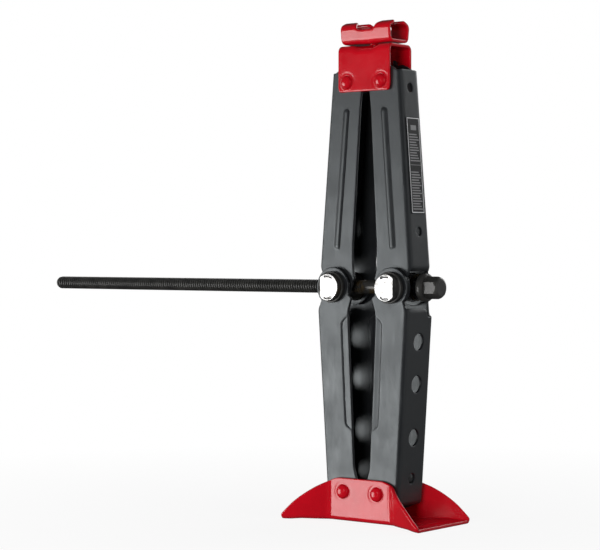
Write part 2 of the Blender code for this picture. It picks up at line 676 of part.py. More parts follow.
def lead_screw(parent):
    """Threaded rod with a round tip, a thrust flange and a hexagonal drive head. The rod's
    radius is the thread's crest."""
    tip = SCREW_TIP_X - TRUNNION_X
    flange = FLANGE_X - TRUNNION_X
    hexagon = HEX_X - TRUNNION_X
    end = HEX_END_X - TRUNNION_X
    nose = [
        (SCREW_RADIUS * math.sin(a), tip + SCREW_RADIUS * (1 - math.cos(a)))
        for a in (math.radians(22.5 * i) for i in range(1, 5))
    ]
    profile = [(0, tip)] + nose
    profile += [(SCREW_RADIUS, flange), (FLANGE_RADIUS - 0.0006, flange)]
    profile += [(FLANGE_RADIUS, flange + 0.0006), (FLANGE_RADIUS, hexagon - 0.0016)]
    profile += [(FLANGE_RADIUS - 0.0014, hexagon), (0, hexagon)]
    at = (TRUNNION_X, 0, TRUNNION_Z)
    screw = part("lead_screw", turned(profile, "X", SMALL_SIDES), PHOSPHATE, parent, at)
    corner = HEX_ACROSS_FLATS / math.sqrt(3)
    angles = [math.radians(30 + 60 * i) for i in range(6)]

    def hex_ring(x, radius):
        return [(x, radius * math.cos(a), radius * math.sin(a)) for a in angles]

    rings = [hex_ring(hexagon - 0.0020, corner), hex_ring(end - 0.0010, corner)]
    rings.append(hex_ring(end, corner - 0.0010))
    boolean(screw, loft(rings), "UNION")


def thrust_bearing(block, screw):
    """Two races with a caged ring of balls between them, stacked from the block's seat."""
    at = (TRUNNION_X, 0, TRUNNION_Z)
    start = SEAT_FLAT + GAP
    hole = SCREW_RADIUS + GAP
    inner_race = ring(hole, RACE_RADIUS, start, start + RACE_THICKNESS, "X")
    part("thrust_race_inner", inner_race, BEARING_STEEL, block, at)
    middle = start + RACE_THICKNESS + GAP + BALL_RADIUS
    pockets = []
    for i in range(BALLS):
        turn = 2 * math.pi * i / BALLS
        place = Vector((middle, BALL_CIRCLE * math.cos(turn), BALL_CIRCLE * math.sin(turn)))
        ball = bmesh.new()
        bmesh.ops.create_icosphere(ball, subdivisions=2, radius=BALL_RADIUS)
        part(f"thrust_ball_{i + 1}", ball, BEARING_STEEL, block, Vector(at) + place)
        pocket = rod(BALL_RADIUS + GAP, -0.002, 0.002, "X", 8)
        pockets.append(moved(pocket, place))
    cage = ring(hole, RACE_RADIUS, middle - 0.0006, middle + 0.0006, "X")
    cage = part("ball_cage", cage, BRASS, block, at)
    boolean(cage, merged(pockets), "DIFFERENCE")
    outer_low = middle + BALL_RADIUS + GAP
    outer_high = FLANGE_X - TRUNNION_X - GAP
    outer_race = ring(hole, RACE_RADIUS, outer_low, outer_high, "X")
    part("thrust_race_outer", outer_race, BEARING_STEEL, screw, at)


def lock_ring(screw):
    """Pressed ring on the screw inside the block, so the screw can push the block outwards."""
    high = -TRUNNION_RADIUS - GAP
    low = high - LOCK_RING_LENGTH
    bm = ring(SCREW_RADIUS + GAP, LOCK_RING_RADIUS, low, high, "X", SMALL_SIDES)
    part("screw_lock_ring", bm, ZINC, screw, (TRUNNION_X, 0, TRUNNION_Z))


# ---------------------------------------------------------------- assembly


def build():
    clear_scene()
    base_plate()
    for side, where in ((-1, "left"), (1, "right")):
        at = (side * PIVOT_X, 0, BASE_PIVOT_Z)
        pivot_rivet(f"base_pivot_rivet_{where}", BASE_WAIST, None, at)

    def corner(side, where):
        """One side's fold: base pivot, trunnion pivot and the level trunnion."""
        fold = hinge(f"fold_{where}", (side * PIVOT_X, 0, BASE_PIVOT_Z))
        lower_arm(side, fold)
        at = (side * TRUNNION_X, 0, TRUNNION_Z)
        level = hinge(f"trunnion_axis_{where}", at, fold)
        trunnion_rings(side, level)
        upper = hinge(f"upper_axis_{where}", at, fold)
        upper_arm(side, upper)
        return level, upper

    nut_axis, _ = corner(-1, "left")
    trunnion("nut_trunnion", -1, False, nut_axis)
    block_axis, upper_right = corner(1, "right")
    trunnion("thrust_trunnion", 1, True, block_axis)
    label_plate(upper_right)

    spin = hinge("screw_axis", (TRUNNION_X, 0, TRUNNION_Z), block_axis)
    lead_screw(spin)
    thrust_bearing(block_axis, spin)
    lock_ring(spin)

    head = hinge("head_axis", (PIVOT_X, 0, HEAD_PIVOT_Z), upper_right)
    top_bracket(head)
    for side, where in ((-1, "left"), (1, "right")):
        at = (side * PIVOT_X, 0, HEAD_PIVOT_Z)
        pivot_rivet(f"head_pivot_rivet_{where}", BRACKET_HALF, head, at)
    saddle_rivet(head)
    swivel = hinge("saddle_axis", (0, 0, SADDLE_BOTTOM), head)
    saddle(swivel)


build()
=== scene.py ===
"""Looks of the scissor stabilizer jack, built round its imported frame.

Every visible piece is made here in metres, in the frame's own coordinates: +X along the
lead screw towards its drive end, +Y along the hinge pins, +Z up, origin under the base.
Joint places and overall boxes come from the frame. Sheet-metal pieces are cut from a flat
blank with a true outline and true holes, bent, embossed and given a thickness with rounded
edges. Round pieces are turned from profiles with small fillets.
"""

import json
import math

import bmesh
import bpy
import numpy as np
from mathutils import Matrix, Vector
from mathutils.geometry import delaunay_2d_cdt


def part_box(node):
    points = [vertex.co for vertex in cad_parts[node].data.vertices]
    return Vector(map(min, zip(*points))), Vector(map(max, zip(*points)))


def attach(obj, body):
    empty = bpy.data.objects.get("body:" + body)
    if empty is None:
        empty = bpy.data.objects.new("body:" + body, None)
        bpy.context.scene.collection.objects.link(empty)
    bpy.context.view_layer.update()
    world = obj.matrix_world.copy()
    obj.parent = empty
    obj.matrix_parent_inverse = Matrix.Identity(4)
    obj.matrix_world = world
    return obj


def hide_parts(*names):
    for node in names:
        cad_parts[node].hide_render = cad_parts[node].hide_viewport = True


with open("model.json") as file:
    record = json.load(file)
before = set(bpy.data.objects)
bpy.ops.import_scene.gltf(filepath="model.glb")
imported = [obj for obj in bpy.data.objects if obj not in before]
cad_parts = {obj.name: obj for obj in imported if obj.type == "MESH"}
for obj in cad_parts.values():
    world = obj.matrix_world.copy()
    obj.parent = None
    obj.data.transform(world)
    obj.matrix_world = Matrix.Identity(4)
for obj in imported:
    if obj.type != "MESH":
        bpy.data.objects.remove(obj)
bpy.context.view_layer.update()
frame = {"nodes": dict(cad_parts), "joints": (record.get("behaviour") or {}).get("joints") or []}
MM = 0.001

# ---- places from the frame

JOINT = {joint["name"]: Vector(joint["pos_m"]) for joint in frame["joints"]}
BASE_PIVOT = JOINT["fold"]
TRUNNION = JOINT["upper_fold_right"]
HEAD_PIVOT = JOINT["head_level"]
LINK = (TRUNNION - BASE_PIVOT).length
TILT = math.atan2(TRUNNION.x - BASE_PIVOT.x, TRUNNION.z - BASE_PIVOT.z)
BASE_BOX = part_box("base_plate")
BRACKET_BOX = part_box("top_bracket")
SADDLE_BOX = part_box("saddle")
SCREW_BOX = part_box("lead_screw")
FLANGE_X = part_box("thrust_race_outer")[1].x + 0.0003

# Channel arms. Places are (across, along) from the base pivot on a lower arm, and from the
# trunnion on an upper one. half and web are the half width and the web's outer face at the
# two ends. front and back are the flanges' free edges; the back ones are wider beside the
# trunnion. holes are (along, radius) in the web.
ARM_SHEET = 0.0023
ARM_BEND = 0.0032
LOWER = dict(
    half=(0.0168, 0.0174),
    web=(0.0182, 0.0166),
    web_ends=(-0.0075, LINK - 0.0150),
    ear=0.0153,
    front=((-0.0096, 0.0180), (-0.0125, LINK - 0.0300), (-0.0131, LINK - 0.0200))
    + ((-0.0149, LINK - 0.0070),),
    back=((-0.0096, 0.0180), (-0.0150, LINK - 0.0600), (-0.0165, LINK - 0.0200))
    + ((-0.0163, LINK - 0.0060),),
    holes=((LINK - 0.0402, 0.0065), (LINK - 0.0724, 0.0065), (LINK - 0.1132, 0.0065))
    + ((LINK - 0.1447, 0.0040),),
    pivot=0.0,
    trunnion=LINK,
    relief=0.0066,
)
UPPER = dict(
    half=(0.0134, 0.0122),
    web=(0.0172, 0.0168),
    web_ends=(0.0115, LINK + 0.0070),
    ear=0.0143,
    front=((-0.0162, 0.0030), (-0.0160, 0.0120), (-0.0152, 0.0165), (-0.0138, 0.0320))
    + ((-0.0123, LINK - 0.0200),),
    back=((-0.0206, 0.0020), (-0.0204, 0.0100), (-0.0190, 0.0145), (-0.0183, 0.0220))
    + ((-0.0196, 0.0430), (-0.0128, 0.0900), (-0.0117, LINK - 0.0200)),
    holes=((0.0414, 0.0035), (0.1512, 0.0035)),
    pivot=LINK,
    trunnion=0.0,
)
GEAR_TEETH = 16
GEAR_ROOT = BASE_PIVOT.x - 0.0024
GEAR_TIP = BASE_PIVOT.x + 0.0017
TRUNNION_HOLE = 0.0108
RIVET_HOLE = 0.0048
SADDLE_RIVET_HOLE = 0.0038

# Base, bracket and saddle
BASE_SHEET = 0.0025
BASE_BEND = 0.0035
BASE_WAIST = 0.0196
BASE_HALF_WIDTH = 0.0360
BASE_RIM = 0.0036
BRACKET_SHEET = 0.0024
BRACKET_BEND = 0.0048
BRACKET_TROUGH = 0.0024
SADDLE_SHEET = 0.0024
SADDLE_BEND = 0.0048
LIP_BEND = 0.0050
LIP_TURN = math.radians(68)
LIP_REACH = 0.0045

# Round pieces
RIVET_RADIUS = 0.0045
DOME_HEIGHT = 0.0034
BASE_DOME = 0.0053
HEAD_DOME = 0.0049
WASHER_RADIUS = 0.0136
COLLAR_RADIUS = 0.0121
PIN_RADIUS = 0.0105
PIN_HALF = 0.0244
PIN_FLAT = 0.0070
SEAT_FLAT = 0.0085
SEAT_HALF = 0.0103
SCREW_RADIUS = 0.0053
THREAD_PITCH = 0.0024
THREAD_DEPTH = 0.0011
THREAD_END_X = -0.0100
HEX_ACROSS = 0.0148
HEX_START_X = 0.0505
FLANGE_RADIUS = 0.0108


# ---- mesh helpers


def arc(centre, radius, start, end, steps):
    """Points of an arc with both ends. start and end are in degrees."""
    turns = np.radians(np.linspace(start, end, steps + 1))
    return [(centre[0] + radius * math.cos(a), centre[1] + radius * math.sin(a)) for a in turns]


def soften(points, closed=True, steps=4):
    """Polyline of (a, b) or (a, b, r) points, with each corner that has an r rounded."""
    out = []
    count = len(points)
    for i, point in enumerate(points):
        here = np.array(point[:2], float)
        radius = point[2] if len(point) > 2 else 0.0
        if radius == 0.0 or (not closed and i in (0, count - 1)):
            out.append(tuple(here))
            continue
        ends = []
        for other in (points[i - 1], points[(i + 1) % count]):
            way = np.array(other[:2], float) - here
            length = np.hypot(*way)
            ends.append(here + way * min(radius / length, 0.45))
        for t in np.linspace(0, 1, steps + 1):
            out.append(tuple(ends[0] * (1 - t) ** 2 + here * 2 * t * (1 - t) + ends[1] * t * t))
    return out


def spaced(loop, step):
    """Closed loop with no side longer than step and no doubled points."""
    out = []
    for a, b in zip(loop, loop[1:] + loop[:1]):
        a, b = np.array(a), np.array(b)
        length = np.hypot(*(b - a))
        if length < 2e-5:
            continue
        pieces = max(1, math.ceil(length / step))
        out += [a + (b - a) * k / pieces for k in range(pieces)]
    return np.array(out)


def outward_2d(loop):
    """Unit normals of a loop that has its material on the left, pointing away from it."""
    ahead = np.roll(loop, -1, axis=0) - loop
    behind = loop - np.roll(loop, 1, axis=0)
    ahead /= np.hypot(*ahead.T)[:, None]
    behind /= np.hypot(*behind.T)[:, None]
    way = ahead + behind
    way /= np.maximum(np.hypot(*way.T), 0.3)[:, None]
    return np.stack([way[:, 1], -way[:, 0]], axis=1)


def inside(points, loop):
    """Which points lie inside a closed loop."""
    x, y = points[:, 0][:, None], points[:, 1][:, None]
    ax, ay = loop[:, 0], loop[:, 1]
    bx, by = np.roll(ax, -1), np.roll(ay, -1)
    crosses = (ay > y) != (by > y)
    with np.errstate(divide="ignore", invalid="ignore"):
        at = ax + (y - ay) * (bx - ax) / (by - ay)
    return (crosses & (x < at)).sum(axis=1) % 2 == 1


def smooth(t):
    t = np.clip(t, 0.0, 1.0)
    return t * t * (3 - 2 * t)


def both_sides(values):
    """Grid lines on both sides of zero, from those on the positive side."""
    return np.sort(np.r_[-values[values > 0], values])


def folded(s, flat, bend, most=math.pi / 2):
    """A blank bent on both sides of its middle line: the turn in the bend, the length past
    it and the distance from the middle."""
    a = np.abs(s)
    turn = np.clip((a - flat) / bend, 0, most)
    past = np.maximum(a - flat - bend * most, 0)
    return turn, past, np.minimum(a, flat) + bend * np.sin(turn)


def linked(name, data):
    """New object in the scene."""
    thing = bpy.data.objects.new(name, data)
    bpy.context.scene.collection.objects.link(thing)
    return thing


def finish_mesh(name, verts, faces, sharp=None):
    """Object from vertices and faces, with its faces turned outwards and shaded smooth."""
    mesh = bpy.data.meshes.new(name)
    mesh.from_pydata([tuple(v) for v in verts], [], faces)
    bm = bmesh.new()
    bm.from_mesh(mesh)
    bmesh.ops.recalc_face_normals(bm, faces=bm.faces)
    bm.to_mesh(mesh)
    bm.free()
    mesh.shade_smooth()
    if sharp:
        mesh.set_sharp_from_angle(angle=math.radians(sharp))
    piece = linked(name, mesh)
    weigh = piece.modifiers.new("even_normals", "WEIGHTED_NORMAL")
    weigh.keep_sharp = True
    return piece


def sheet(name, surface, outline, holes, thickness, grid, outward, edge=0.0005, step=0.0013):
    """Bent sheet-metal piece. surface maps arrays s, u of the flat blank to points of the
    sheet's middle. outline runs counter-clockwise in (s, u), and so does each hole. grid is
    the s and u values of its inner points. The rim is rounded with radius edge."""
    loops = [spaced(outline, step)] + [spaced(hole, step)[::-1] for hole in holes]
    normals = [outward_2d(loop) for loop in loops]
    inset = [loop - way * edge for loop, way in zip(loops, normals)]

    def on_sheet(at):
        keep = inside(at, inset[0])
        for loop in inset[1:]:
            keep &= ~inside(at, loop)
        return keep

    gs, gu = [axis.ravel() for axis in np.meshgrid(*grid, indexing="ij")]
    inner = np.stack([gs, gu], axis=1)
    inner = inner[on_sheet(inner)]
    rim_points = np.concatenate(inset)
    near = np.full(len(inner), np.inf)
    for start in range(0, len(rim_points), 200):
        part = rim_points[start : start + 200]
        away = np.hypot(inner[:, :1] - part[:, 0], inner[:, 1:] - part[:, 1])
        near = np.minimum(near, away.min(axis=1))
    inner = inner[near > 0.45 * step]

    flat = np.concatenate([rim_points, inner])
    edges = []
    first = 0
    for loop in inset:
        count = len(loop)
        edges += [(first + i, first + (i + 1) % count) for i in range(count)]
        first += count
    cut = delaunay_2d_cdt([Vector(p / MM) for p in flat], edges, [], 0, 1e-5, True)
    points = np.array([tuple(p) for p in cut[0]]) * MM
    triangles = np.array(cut[2])
    triangles = triangles[on_sheet(points[triangles].mean(axis=1))]
    place_of = {}
    for new, old in enumerate(cut[3]):
        for index in old:
            place_of[index] = new

    def lay(at, height):
        """Points at a height over the sheet's middle surface."""
        s, u = at.T
        tiny = 1e-5
        along_s = surface(s + tiny, u) - surface(s - tiny, u)
        along_u = surface(s, u + tiny) - surface(s, u - tiny)
        up = np.cross(along_s, along_u)
        up *= outward / np.linalg.norm(up, axis=1)[:, None]
        return surface(s, u) + up * height

    half = thickness / 2
    verts = [lay(points, half), lay(points, -half)]
    total = 2 * len(points)
    faces = [tuple(t) for t in triangles] + [tuple(t[::-1] + len(points)) for t in triangles]
    rim = [(math.radians(a), half - edge) for a in (50, 0)]
    rim += [(math.radians(a), edge - half) for a in (0, -50)]
    first = 0
    for loop, way in zip(loops, normals):
        count = len(loop)
        rows = [[place_of[first + i] for i in range(count)]]
        for angle, base in rim:
            offset = way * edge * (math.cos(angle) - 1)
            verts.append(lay(loop + offset, base + edge * math.sin(angle)))
            rows.append(list(range(total, total + count)))
            total += count
        rows.append([place_of[first + i] + len(points) for i in range(count)])
        for top, low in zip(rows, rows[1:]):
            for i in range(count):
                j = (i + 1) % count
                faces.append((top[i], low[i], low[j], top[j]))
        first += count
    return finish_mesh(name, np.concatenate(verts), faces)


def turned(name, profile, axis, at, sides=64, closed=False, shape=None, sharp=None):
    """Piece turned about an axis through at, from (radius, along) points. A closed profile
    makes a ring. shape may press the vertices (across, along, across) into another form."""
    rows, verts, faces = [], [], []
    for radius, along in profile:
        if radius < 1e-6:
            rows.append([len(verts)] * sides)
            verts.append((0.0, along, 0.0))
            continue
        rows.append(list(range(len(verts), len(verts) + sides)))
        for k in range(sides):
            turn = 2 * math.pi * k / sides
            verts.append((radius * math.cos(turn), along, radius * math.sin(turn)))
    pairs = list(zip(rows, rows[1:]))
    if closed:
        pairs.append((rows[-1], rows[0]))
    for low, high in pairs:
        for k in range(sides):
            j = (k + 1) % sides
            face = tuple(dict.fromkeys([low[k], low[j], high[j], high[k]]))
            if len(face) > 2:
                faces.append(face)
    verts = np.array(verts)
    if shape:
        verts = shape(verts)
    if axis == "X":
        verts = np.stack([verts[:, 1], verts[:, 0], verts[:, 2]], axis=1)
    elif axis == "Z":
        verts = np.stack([verts[:, 0], verts[:, 2], verts[:, 1]], axis=1)
    return finish_mesh(name, verts + np.array(at), faces, sharp)


def ring(node, word, axis, at, inner, outer, fillet, sides=72):
    """Ring with rounded edges, as long as its node. Without an outer radius it takes the
    node's own."""
    low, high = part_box(node)
    outer = outer or high.y
    start, end = low["XYZ".index(axis)], high["XYZ".index(axis)]
    corners = [(inner, start, fillet / 2), (outer, start, fillet)]
    corners += [(outer, end, fillet), (inner, end, fillet / 2)]
    return turned(node + word, soften(corners), axis, at, sides, closed=True)


def bored(piece, radius, axis, at):
    """Cuts a plain hole through a piece, along an axis through at."""
    reach = 0.05
    profile = [(0, -reach), (radius, -reach), (radius, reach), (0, reach)]
    cutter = turned(piece.name + "_bore", profile, axis, at, 48)
    cut = piece.modifiers.new("bore", "BOOLEAN")
    cut.object = cutter
    cut.solver = "EXACT"
    bpy.context.view_layer.update()
    graph = bpy.context.evaluated_depsgraph_get()
    weigh = piece.modifiers["even_normals"]
    weigh.show_viewport = False
    graph.update()
    mesh = bpy.data.meshes.new_from_object(piece.evaluated_get(graph))
    piece.modifiers.remove(cut)
    weigh.show_viewport = True
    piece.data = mesh
    mesh.shade_smooth()
    mesh.set_sharp_from_angle(angle=math.radians(32))
    bpy.data.objects.remove(cutter, do_unlink=True)


def settle(piece, body, slot, finish, *nodes):
    """Gives a piece its finish and its place in the frame: its body and the nodes it replaces. slot
    is not used.
    """
    piece.data.materials.clear()
    piece.data.materials.append(finish)
    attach(piece, body)
    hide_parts(*nodes)


# ---- materials


class Nodes:
    """Short way to build a material's node tree."""

    def __init__(self, name):
        self.material = bpy.data.materials.new(name)
        self.material.use_nodes = True
        self.tree = self.material.node_tree
        self.shader = self.tree.nodes["Principled BSDF"]
        coordinates = self.tree.nodes.new("ShaderNodeTexCoord")
        self.place = coordinates.outputs["Object"]

    def add(self, kind, settings=None, **inputs):
        node = self.tree.nodes.new("ShaderNode" + kind)
        for key, value in (settings or {}).items():
            setattr(node, key, value)
        for key, value in inputs.items():
            self.set(node, key.replace("_", " "), value)
        return node

    def set(self, node, key, value):
        socket = node.inputs[int(key)] if key.isdigit() else node.inputs[key]
        if isinstance(value, bpy.types.NodeSocket):
            self.tree.links.new(value, socket)
        else:
            socket.default_value = value

    def noise(self, size, detail=3.0, place=None):
        """Noise whose features are about size metres across."""
        node = self.add("TexNoise", Scale=1.0 / size, Detail=detail, Roughness=0.55)
        self.set(node, "Vector", place or self.place)
        return node.outputs["Fac"]

    def between(self, fac, low, high, from_low=0.0, from_high=1.0):
        node = self.add("MapRange", Value=fac)
        ends = {"From Min": from_low, "From Max": from_high, "To Min": low, "To Max": high}
        for key, value in ends.items():
            self.set(node, key, value)
        return node.outputs["Result"]

    def mix(self, fac, first, second):
        node = self.add("Mix", {"data_type": "RGBA"})
        self.set(node, "0", fac)
        for key, value in (("6", first), ("7", second)):
            plain = not isinstance(value, bpy.types.NodeSocket)
            self.set(node, key, (*value, 1.0) if plain else value)
        return node.outputs[2]

    def math(self, operation, first, second=0.0):
        node = self.add("Math", {"operation": operation})
        self.set(node, "0", first)
        self.set(node, "1", second)
        return node.outputs[0]

    def radius(self, first, second):
        """Distance from an axis, from the two coordinates across it."""
        squares = [self.math("POWER", value, 2.0) for value in (first, second)]
        return self.math("SQRT", self.math("ADD", *squares))

    def bump(self, height, depth):
        """Bump from a height socket that spans 0 to 1 over depth metres."""
        node = self.add("Bump", Height=height, Distance=depth, Strength=1.0)
        return node.outputs["Normal"]

    def edge(self, radius, low=0.02, high=0.25):
        """1 along edges and 0 on flats, from how far a rounded normal leans."""
        rounded = self.add("Bevel", {"samples": 6}, Radius=radius)
        plain = self.add("NewGeometry")
        lean = self.add("VectorMath", {"operation": "DOT_PRODUCT"})
        self.set(lean, "0", rounded.outputs[0])
        self.set(lean, "1", plain.outputs["Normal"])
        return self.between(lean.outputs["Value"], 1.0, 0.0, 1 - high, 1 - low)

    def done(self, tone, rough, **others):
        for key, value in dict(others, Base_Color=tone, Roughness=rough).items():
            self.set(self.shader, key.replace("_", " "), value)
        return self.material


def red_enamel():
    """Glossy red enamel over pressed steel, with orange peel and a few dull specks."""
    n = Nodes("red_enamel")
    broad = n.noise(0.030)
    peel = n.noise(0.0009, 1.0)
    specks = n.between(n.noise(0.0016, 2.0), 0.0, 1.0, 0.66, 0.74)
    cloud = n.between(broad, 0.0, 1.0, 0.35, 0.65)
    tone = n.mix(cloud, (0.47, 0.0014, 0.0085), (0.56, 0.0018, 0.0105))
    tone = n.mix(n.math("MULTIPLY", specks, 0.25), tone, (0.70, 0.05, 0.06))
    rough = n.between(n.noise(0.0060), 0.17, 0.25, 0.3, 0.7)
    height = n.math("ADD", peel, n.math("MULTIPLY", broad, 4.0))
    normal = n.bump(height, 0.00005)
    return n.done(tone, rough, Normal=normal, Coat_Weight=0.30, Coat_Roughness=0.06)


def black_powder():
    """Satin black powder coat, with fine texture, faint dust and a few rubbed marks."""
    n = Nodes("black_powder")
    broad = n.noise(0.022)
    fine = n.noise(0.0007, 2.0)
    stretched = n.add("Mapping", Vector=n.place, Scale=(1.0, 1.0, 0.16))
    streaks = n.noise(0.0030, 4.0, stretched.outputs["Vector"])
    cloud = n.between(broad, 0.0, 1.0, 0.3, 0.7)
    tone = n.mix(cloud, (0.0100, 0.0108, 0.0120), (0.0155, 0.0163, 0.0178))
    tone = n.mix(n.between(streaks, 0.0, 0.12, 0.60, 0.75), tone, (0.10, 0.105, 0.11))
    rough = n.between(n.math("ADD", broad, n.math("MULTIPLY", streaks, 0.5)), 0.36, 0.50, 0.5, 1.0)
    rub = n.edge(0.0005)
    tone = n.mix(n.math("MULTIPLY", rub, 0.15), tone, (0.09, 0.095, 0.10))
    normal = n.bump(n.math("ADD", fine, n.math("MULTIPLY", broad, 6.0)), 0.000022)
    sheen = dict(IOR=1.56, Specular_IOR_Level=0.95, Specular_Tint=(0.92, 0.98, 1.0, 1.0))
    return n.done(tone, rough, Normal=normal, **sheen)


def black_phosphate(name="black_phosphate", oil=0.0):
    """Dark phosphated steel. oil adds a wet film."""
    n = Nodes(name)
    grain = n.noise(0.0009, 4.0)
    broad = n.noise(0.0080)
    tone = n.mix(n.between(broad, 0.0, 1.0, 0.3, 0.7), (0.026, 0.026, 0.025), (0.060, 0.059, 0.055))
    split = n.add("SeparateXYZ", Vector=n.place)
    between_pins = n.between(n.math("ABSOLUTE", split.outputs["X"]), 2.0 * oil, 0.0, 0.016, 0.026)
    grease = n.math("MULTIPLY", between_pins, n.between(n.noise(0.0060, 2.0), 0.0, 1.0, 0.40, 0.60))
    tone = n.mix(grease, tone, (0.060, 0.042, 0.018))
    rub = n.math("MULTIPLY", n.edge(0.0004), n.between(n.noise(0.0030), 0.0, 1.0, 0.45, 0.60))
    tone = n.mix(n.math("MULTIPLY", rub, 0.5), tone, (0.34, 0.33, 0.31))
    rough = n.between(grain, 0.34, 0.52, 0.3, 0.7)
    film = dict(Coat_Weight=oil, Coat_Roughness=0.16)
    return n.done(tone, rough, Normal=n.bump(grain, 0.00002), Metallic=0.35, **film)


def machined_steel():
    """Bright turned steel with fine tool rings round the pin's axis and faint stains."""
    n = Nodes("machined_steel")
    split = n.add("SeparateXYZ", Vector=n.place)
    across = n.math("SUBTRACT", n.math("ABSOLUTE", split.outputs["X"]), TRUNNION.x)
    high = n.math("SUBTRACT", split.outputs["Z"], TRUNNION.z)
    ring_pitch = 0.00022
    turns = n.math("MULTIPLY", n.radius(across, high), 2 * math.pi / ring_pitch)
    rings = n.math("SINE", turns)
    stain = n.noise(0.0035, 4.0)
    tone = n.mix(n.between(stain, 0.0, 1.0, 0.45, 0.75), (0.46, 0.455, 0.45), (0.27, 0.26, 0.24))
    rough = n.between(stain, 0.16, 0.34, 0.35, 0.75)
    scratches = n.noise(0.0012, 5.0)
    normal = n.bump(n.math("ADD", n.math("MULTIPLY", rings, 0.5), scratches), 0.000006)
    return n.done(tone, rough, Normal=normal, Metallic=1.0)


def mottled_metal(name, size, first, second, rough, depth, spread=None):
    """Bare metal whose tone and roughness vary in soft clouds."""
    n = Nodes(name)
    cloud = n.noise(size, 4.0)
    share = n.between(cloud, 0.0, 1.0, *spread) if spread else cloud
    tone = n.mix(share, first, second)
    fade = n.between(cloud, *rough, 0.3, 0.7)
    return n.done(tone, fade, Normal=n.bump(cloud, depth), Metallic=1.0)


def printed(name, first, second, rough):
    """Printed film: a tone with slight mottling and a faint texture."""
    n = Nodes(name)
    cloud = n.noise(0.0040, 3.0)
    tone = n.mix(cloud, first, second)
    fade = n.between(cloud, rough, rough + 0.12, 0.3, 0.7)
    return n.done(tone, fade, Normal=n.bump(n.noise(0.0006), 0.000008))


RED = red_enamel()
BLACK = black_powder()
PHOSPHATE = black_phosphate()
OILED = black_phosphate("oiled_phosphate", 0.5)
BRIGHT = machined_steel()
tones = (0.30, 0.30, 0.31), (0.48, 0.48, 0.47)
ZINC = mottled_metal("zinc_plate", 0.0020, *tones, (0.28, 0.46), 0.00001)
tones = (0.16, 0.16, 0.165), (0.10, 0.095, 0.085)
BEARING = mottled_metal("bearing_steel", 0.0040, *tones, (0.10, 0.26), 0.000005, (0.35, 0.7))
tones = (0.10, 0.075, 0.035), (0.22, 0.165, 0.080)
BRASS = mottled_metal("cage_brass", 0.0030, *tones, (0.26, 0.42), 0.00001)
FILM = printed("label_film", (0.010, 0.010, 0.011), (0.016, 0.016, 0.017), 0.30)
INK = printed("label_ink", (0.74, 0.75, 0.76), (0.84, 0.85, 0.86), 0.38)
GREY_INK = printed("label_grey_ink", (0.22, 0.22, 0.225), (0.30, 0.30, 0.305), 0.38)


# ---- channel arms


def arm_widths(arm, u):
    """Half width and web place of an arm at u. Beside the trunnion, where it has no web, the
    web place moves out, so that the round ear stays flat."""
    share = u / LINK
    half = arm["half"][0] + (arm["half"][1] - arm["half"][0]) * share
    web = arm["web"][0] + (arm["web"][1] - arm["web"][0]) * share
    if arm is LOWER:
        spread = smooth((u - LINK + 0.0102) / 0.0034)
    else:
        spread = smooth((0.0080 - u) / 0.0034)
    return half, web + 0.0035 * spread


def across(arm, v, u):
    """Blank coordinate s of the place v on an arm's flange."""
    half, web = arm_widths(arm, u)
    bend = ARM_BEND - ARM_SHEET / 2
    return half - ARM_BEND + bend * math.pi / 2 + web - ARM_BEND - v


def flange(arm, points):
    """Flange points (v, u) or (v, u, r) as blank points."""
    return [(float(across(arm, p[0], p[1])), *p[1:]) for p in points]


def free_edge(points, u):
    return np.interp(u, [p[1] for p in points], [p[0] for p in points])


def edge_strip(v, u, back):
    """Lift of the trough along a lower arm's free edge: a steep step down, and a floor that
    rises again towards the edge."""
    low, high = LINK - 0.1125, LINK - 0.0215
    edge = np.where(back, free_edge(LOWER["back"], u), free_edge(LOWER["front"], u))
    inner = edge + 0.0072 - v
    slant = 1.35
    top = ((high - u) * slant - (v - edge)) / math.hypot(1, slant)
    bottom = ((u - low) * slant - (v - edge)) / math.hypot(1, slant)
    soft = 0.0009
    into = -soft * np.log(sum(np.exp(np.clip(-d / soft, -40, 40)) for d in (inner, top, bottom)))
    rise = 0.5 * smooth((inner - 0.0015) / 0.0066)
    return -0.00065 * smooth(into / 0.0015) * (1 - rise)


def flange_rib(v, u):
    """Lift of the long rib on an upper arm's flange, steep towards the free edge."""
    low, high = 0.0320, 0.1345
    along = np.clip(u, low, high)
    middle = 0.0002 - 0.0008 * (along - low) / (high - low)
    steep, gentle, crown = 0.0013, 0.0038, 0.0005
    side = v - middle
    past_end = np.abs(u - along)
    reach = np.where(side < 0, steep, gentle)
    away = np.hypot(np.maximum(np.abs(side) - crown, 0) / reach, past_end / 0.0034)
    return 0.0009 * smooth(1.0 - away)


def arm_surface(arm, side):
    """Middle surface of an arm in the frame, as a function of blank coordinates."""
    lower = arm is LOWER
    low, high = arm["web_ends"]
    origin = BASE_PIVOT if lower else TRUNNION
    lean = TILT if lower else -TILT
    bend = ARM_BEND - ARM_SHEET / 2
    curls = ((low, -1, 0.0034, 0.0030), (high, 1, 0.0036, 0.0060))
    if not lower:
        curls = ((low, -1, 0.0040, 0.0040), (high, 1, 0.0016, 0.0060))

    def surface(s, u):
        half, web = arm_widths(arm, u)
        turn, past, y = folded(s, half - ARM_BEND, bend)
        v = web - ARM_BEND + bend * np.cos(turn) - past
        lift = edge_strip(v, u, s > 0) if lower else flange_rib(v, u)
        y = y + lift * smooth(past / 0.0010)
        facing = np.cos(turn)
        along = np.array(u, float)
        for end, way, length, radius in curls:
            q = np.clip(way * (u - end) + length, 0, length + 0.0003)
            curl = np.minimum(q / radius, 1.4)
            v = v - facing * radius * (1 - np.cos(curl))
            along = along - way * facing * (q - radius * np.sin(curl))
        x = side * (origin.x + v * math.cos(lean) + along * math.sin(lean))
        z = origin.z - v * math.sin(lean) + along * math.cos(lean)
        return np.stack([x, np.sign(s) * y, z], axis=1)

    return surface


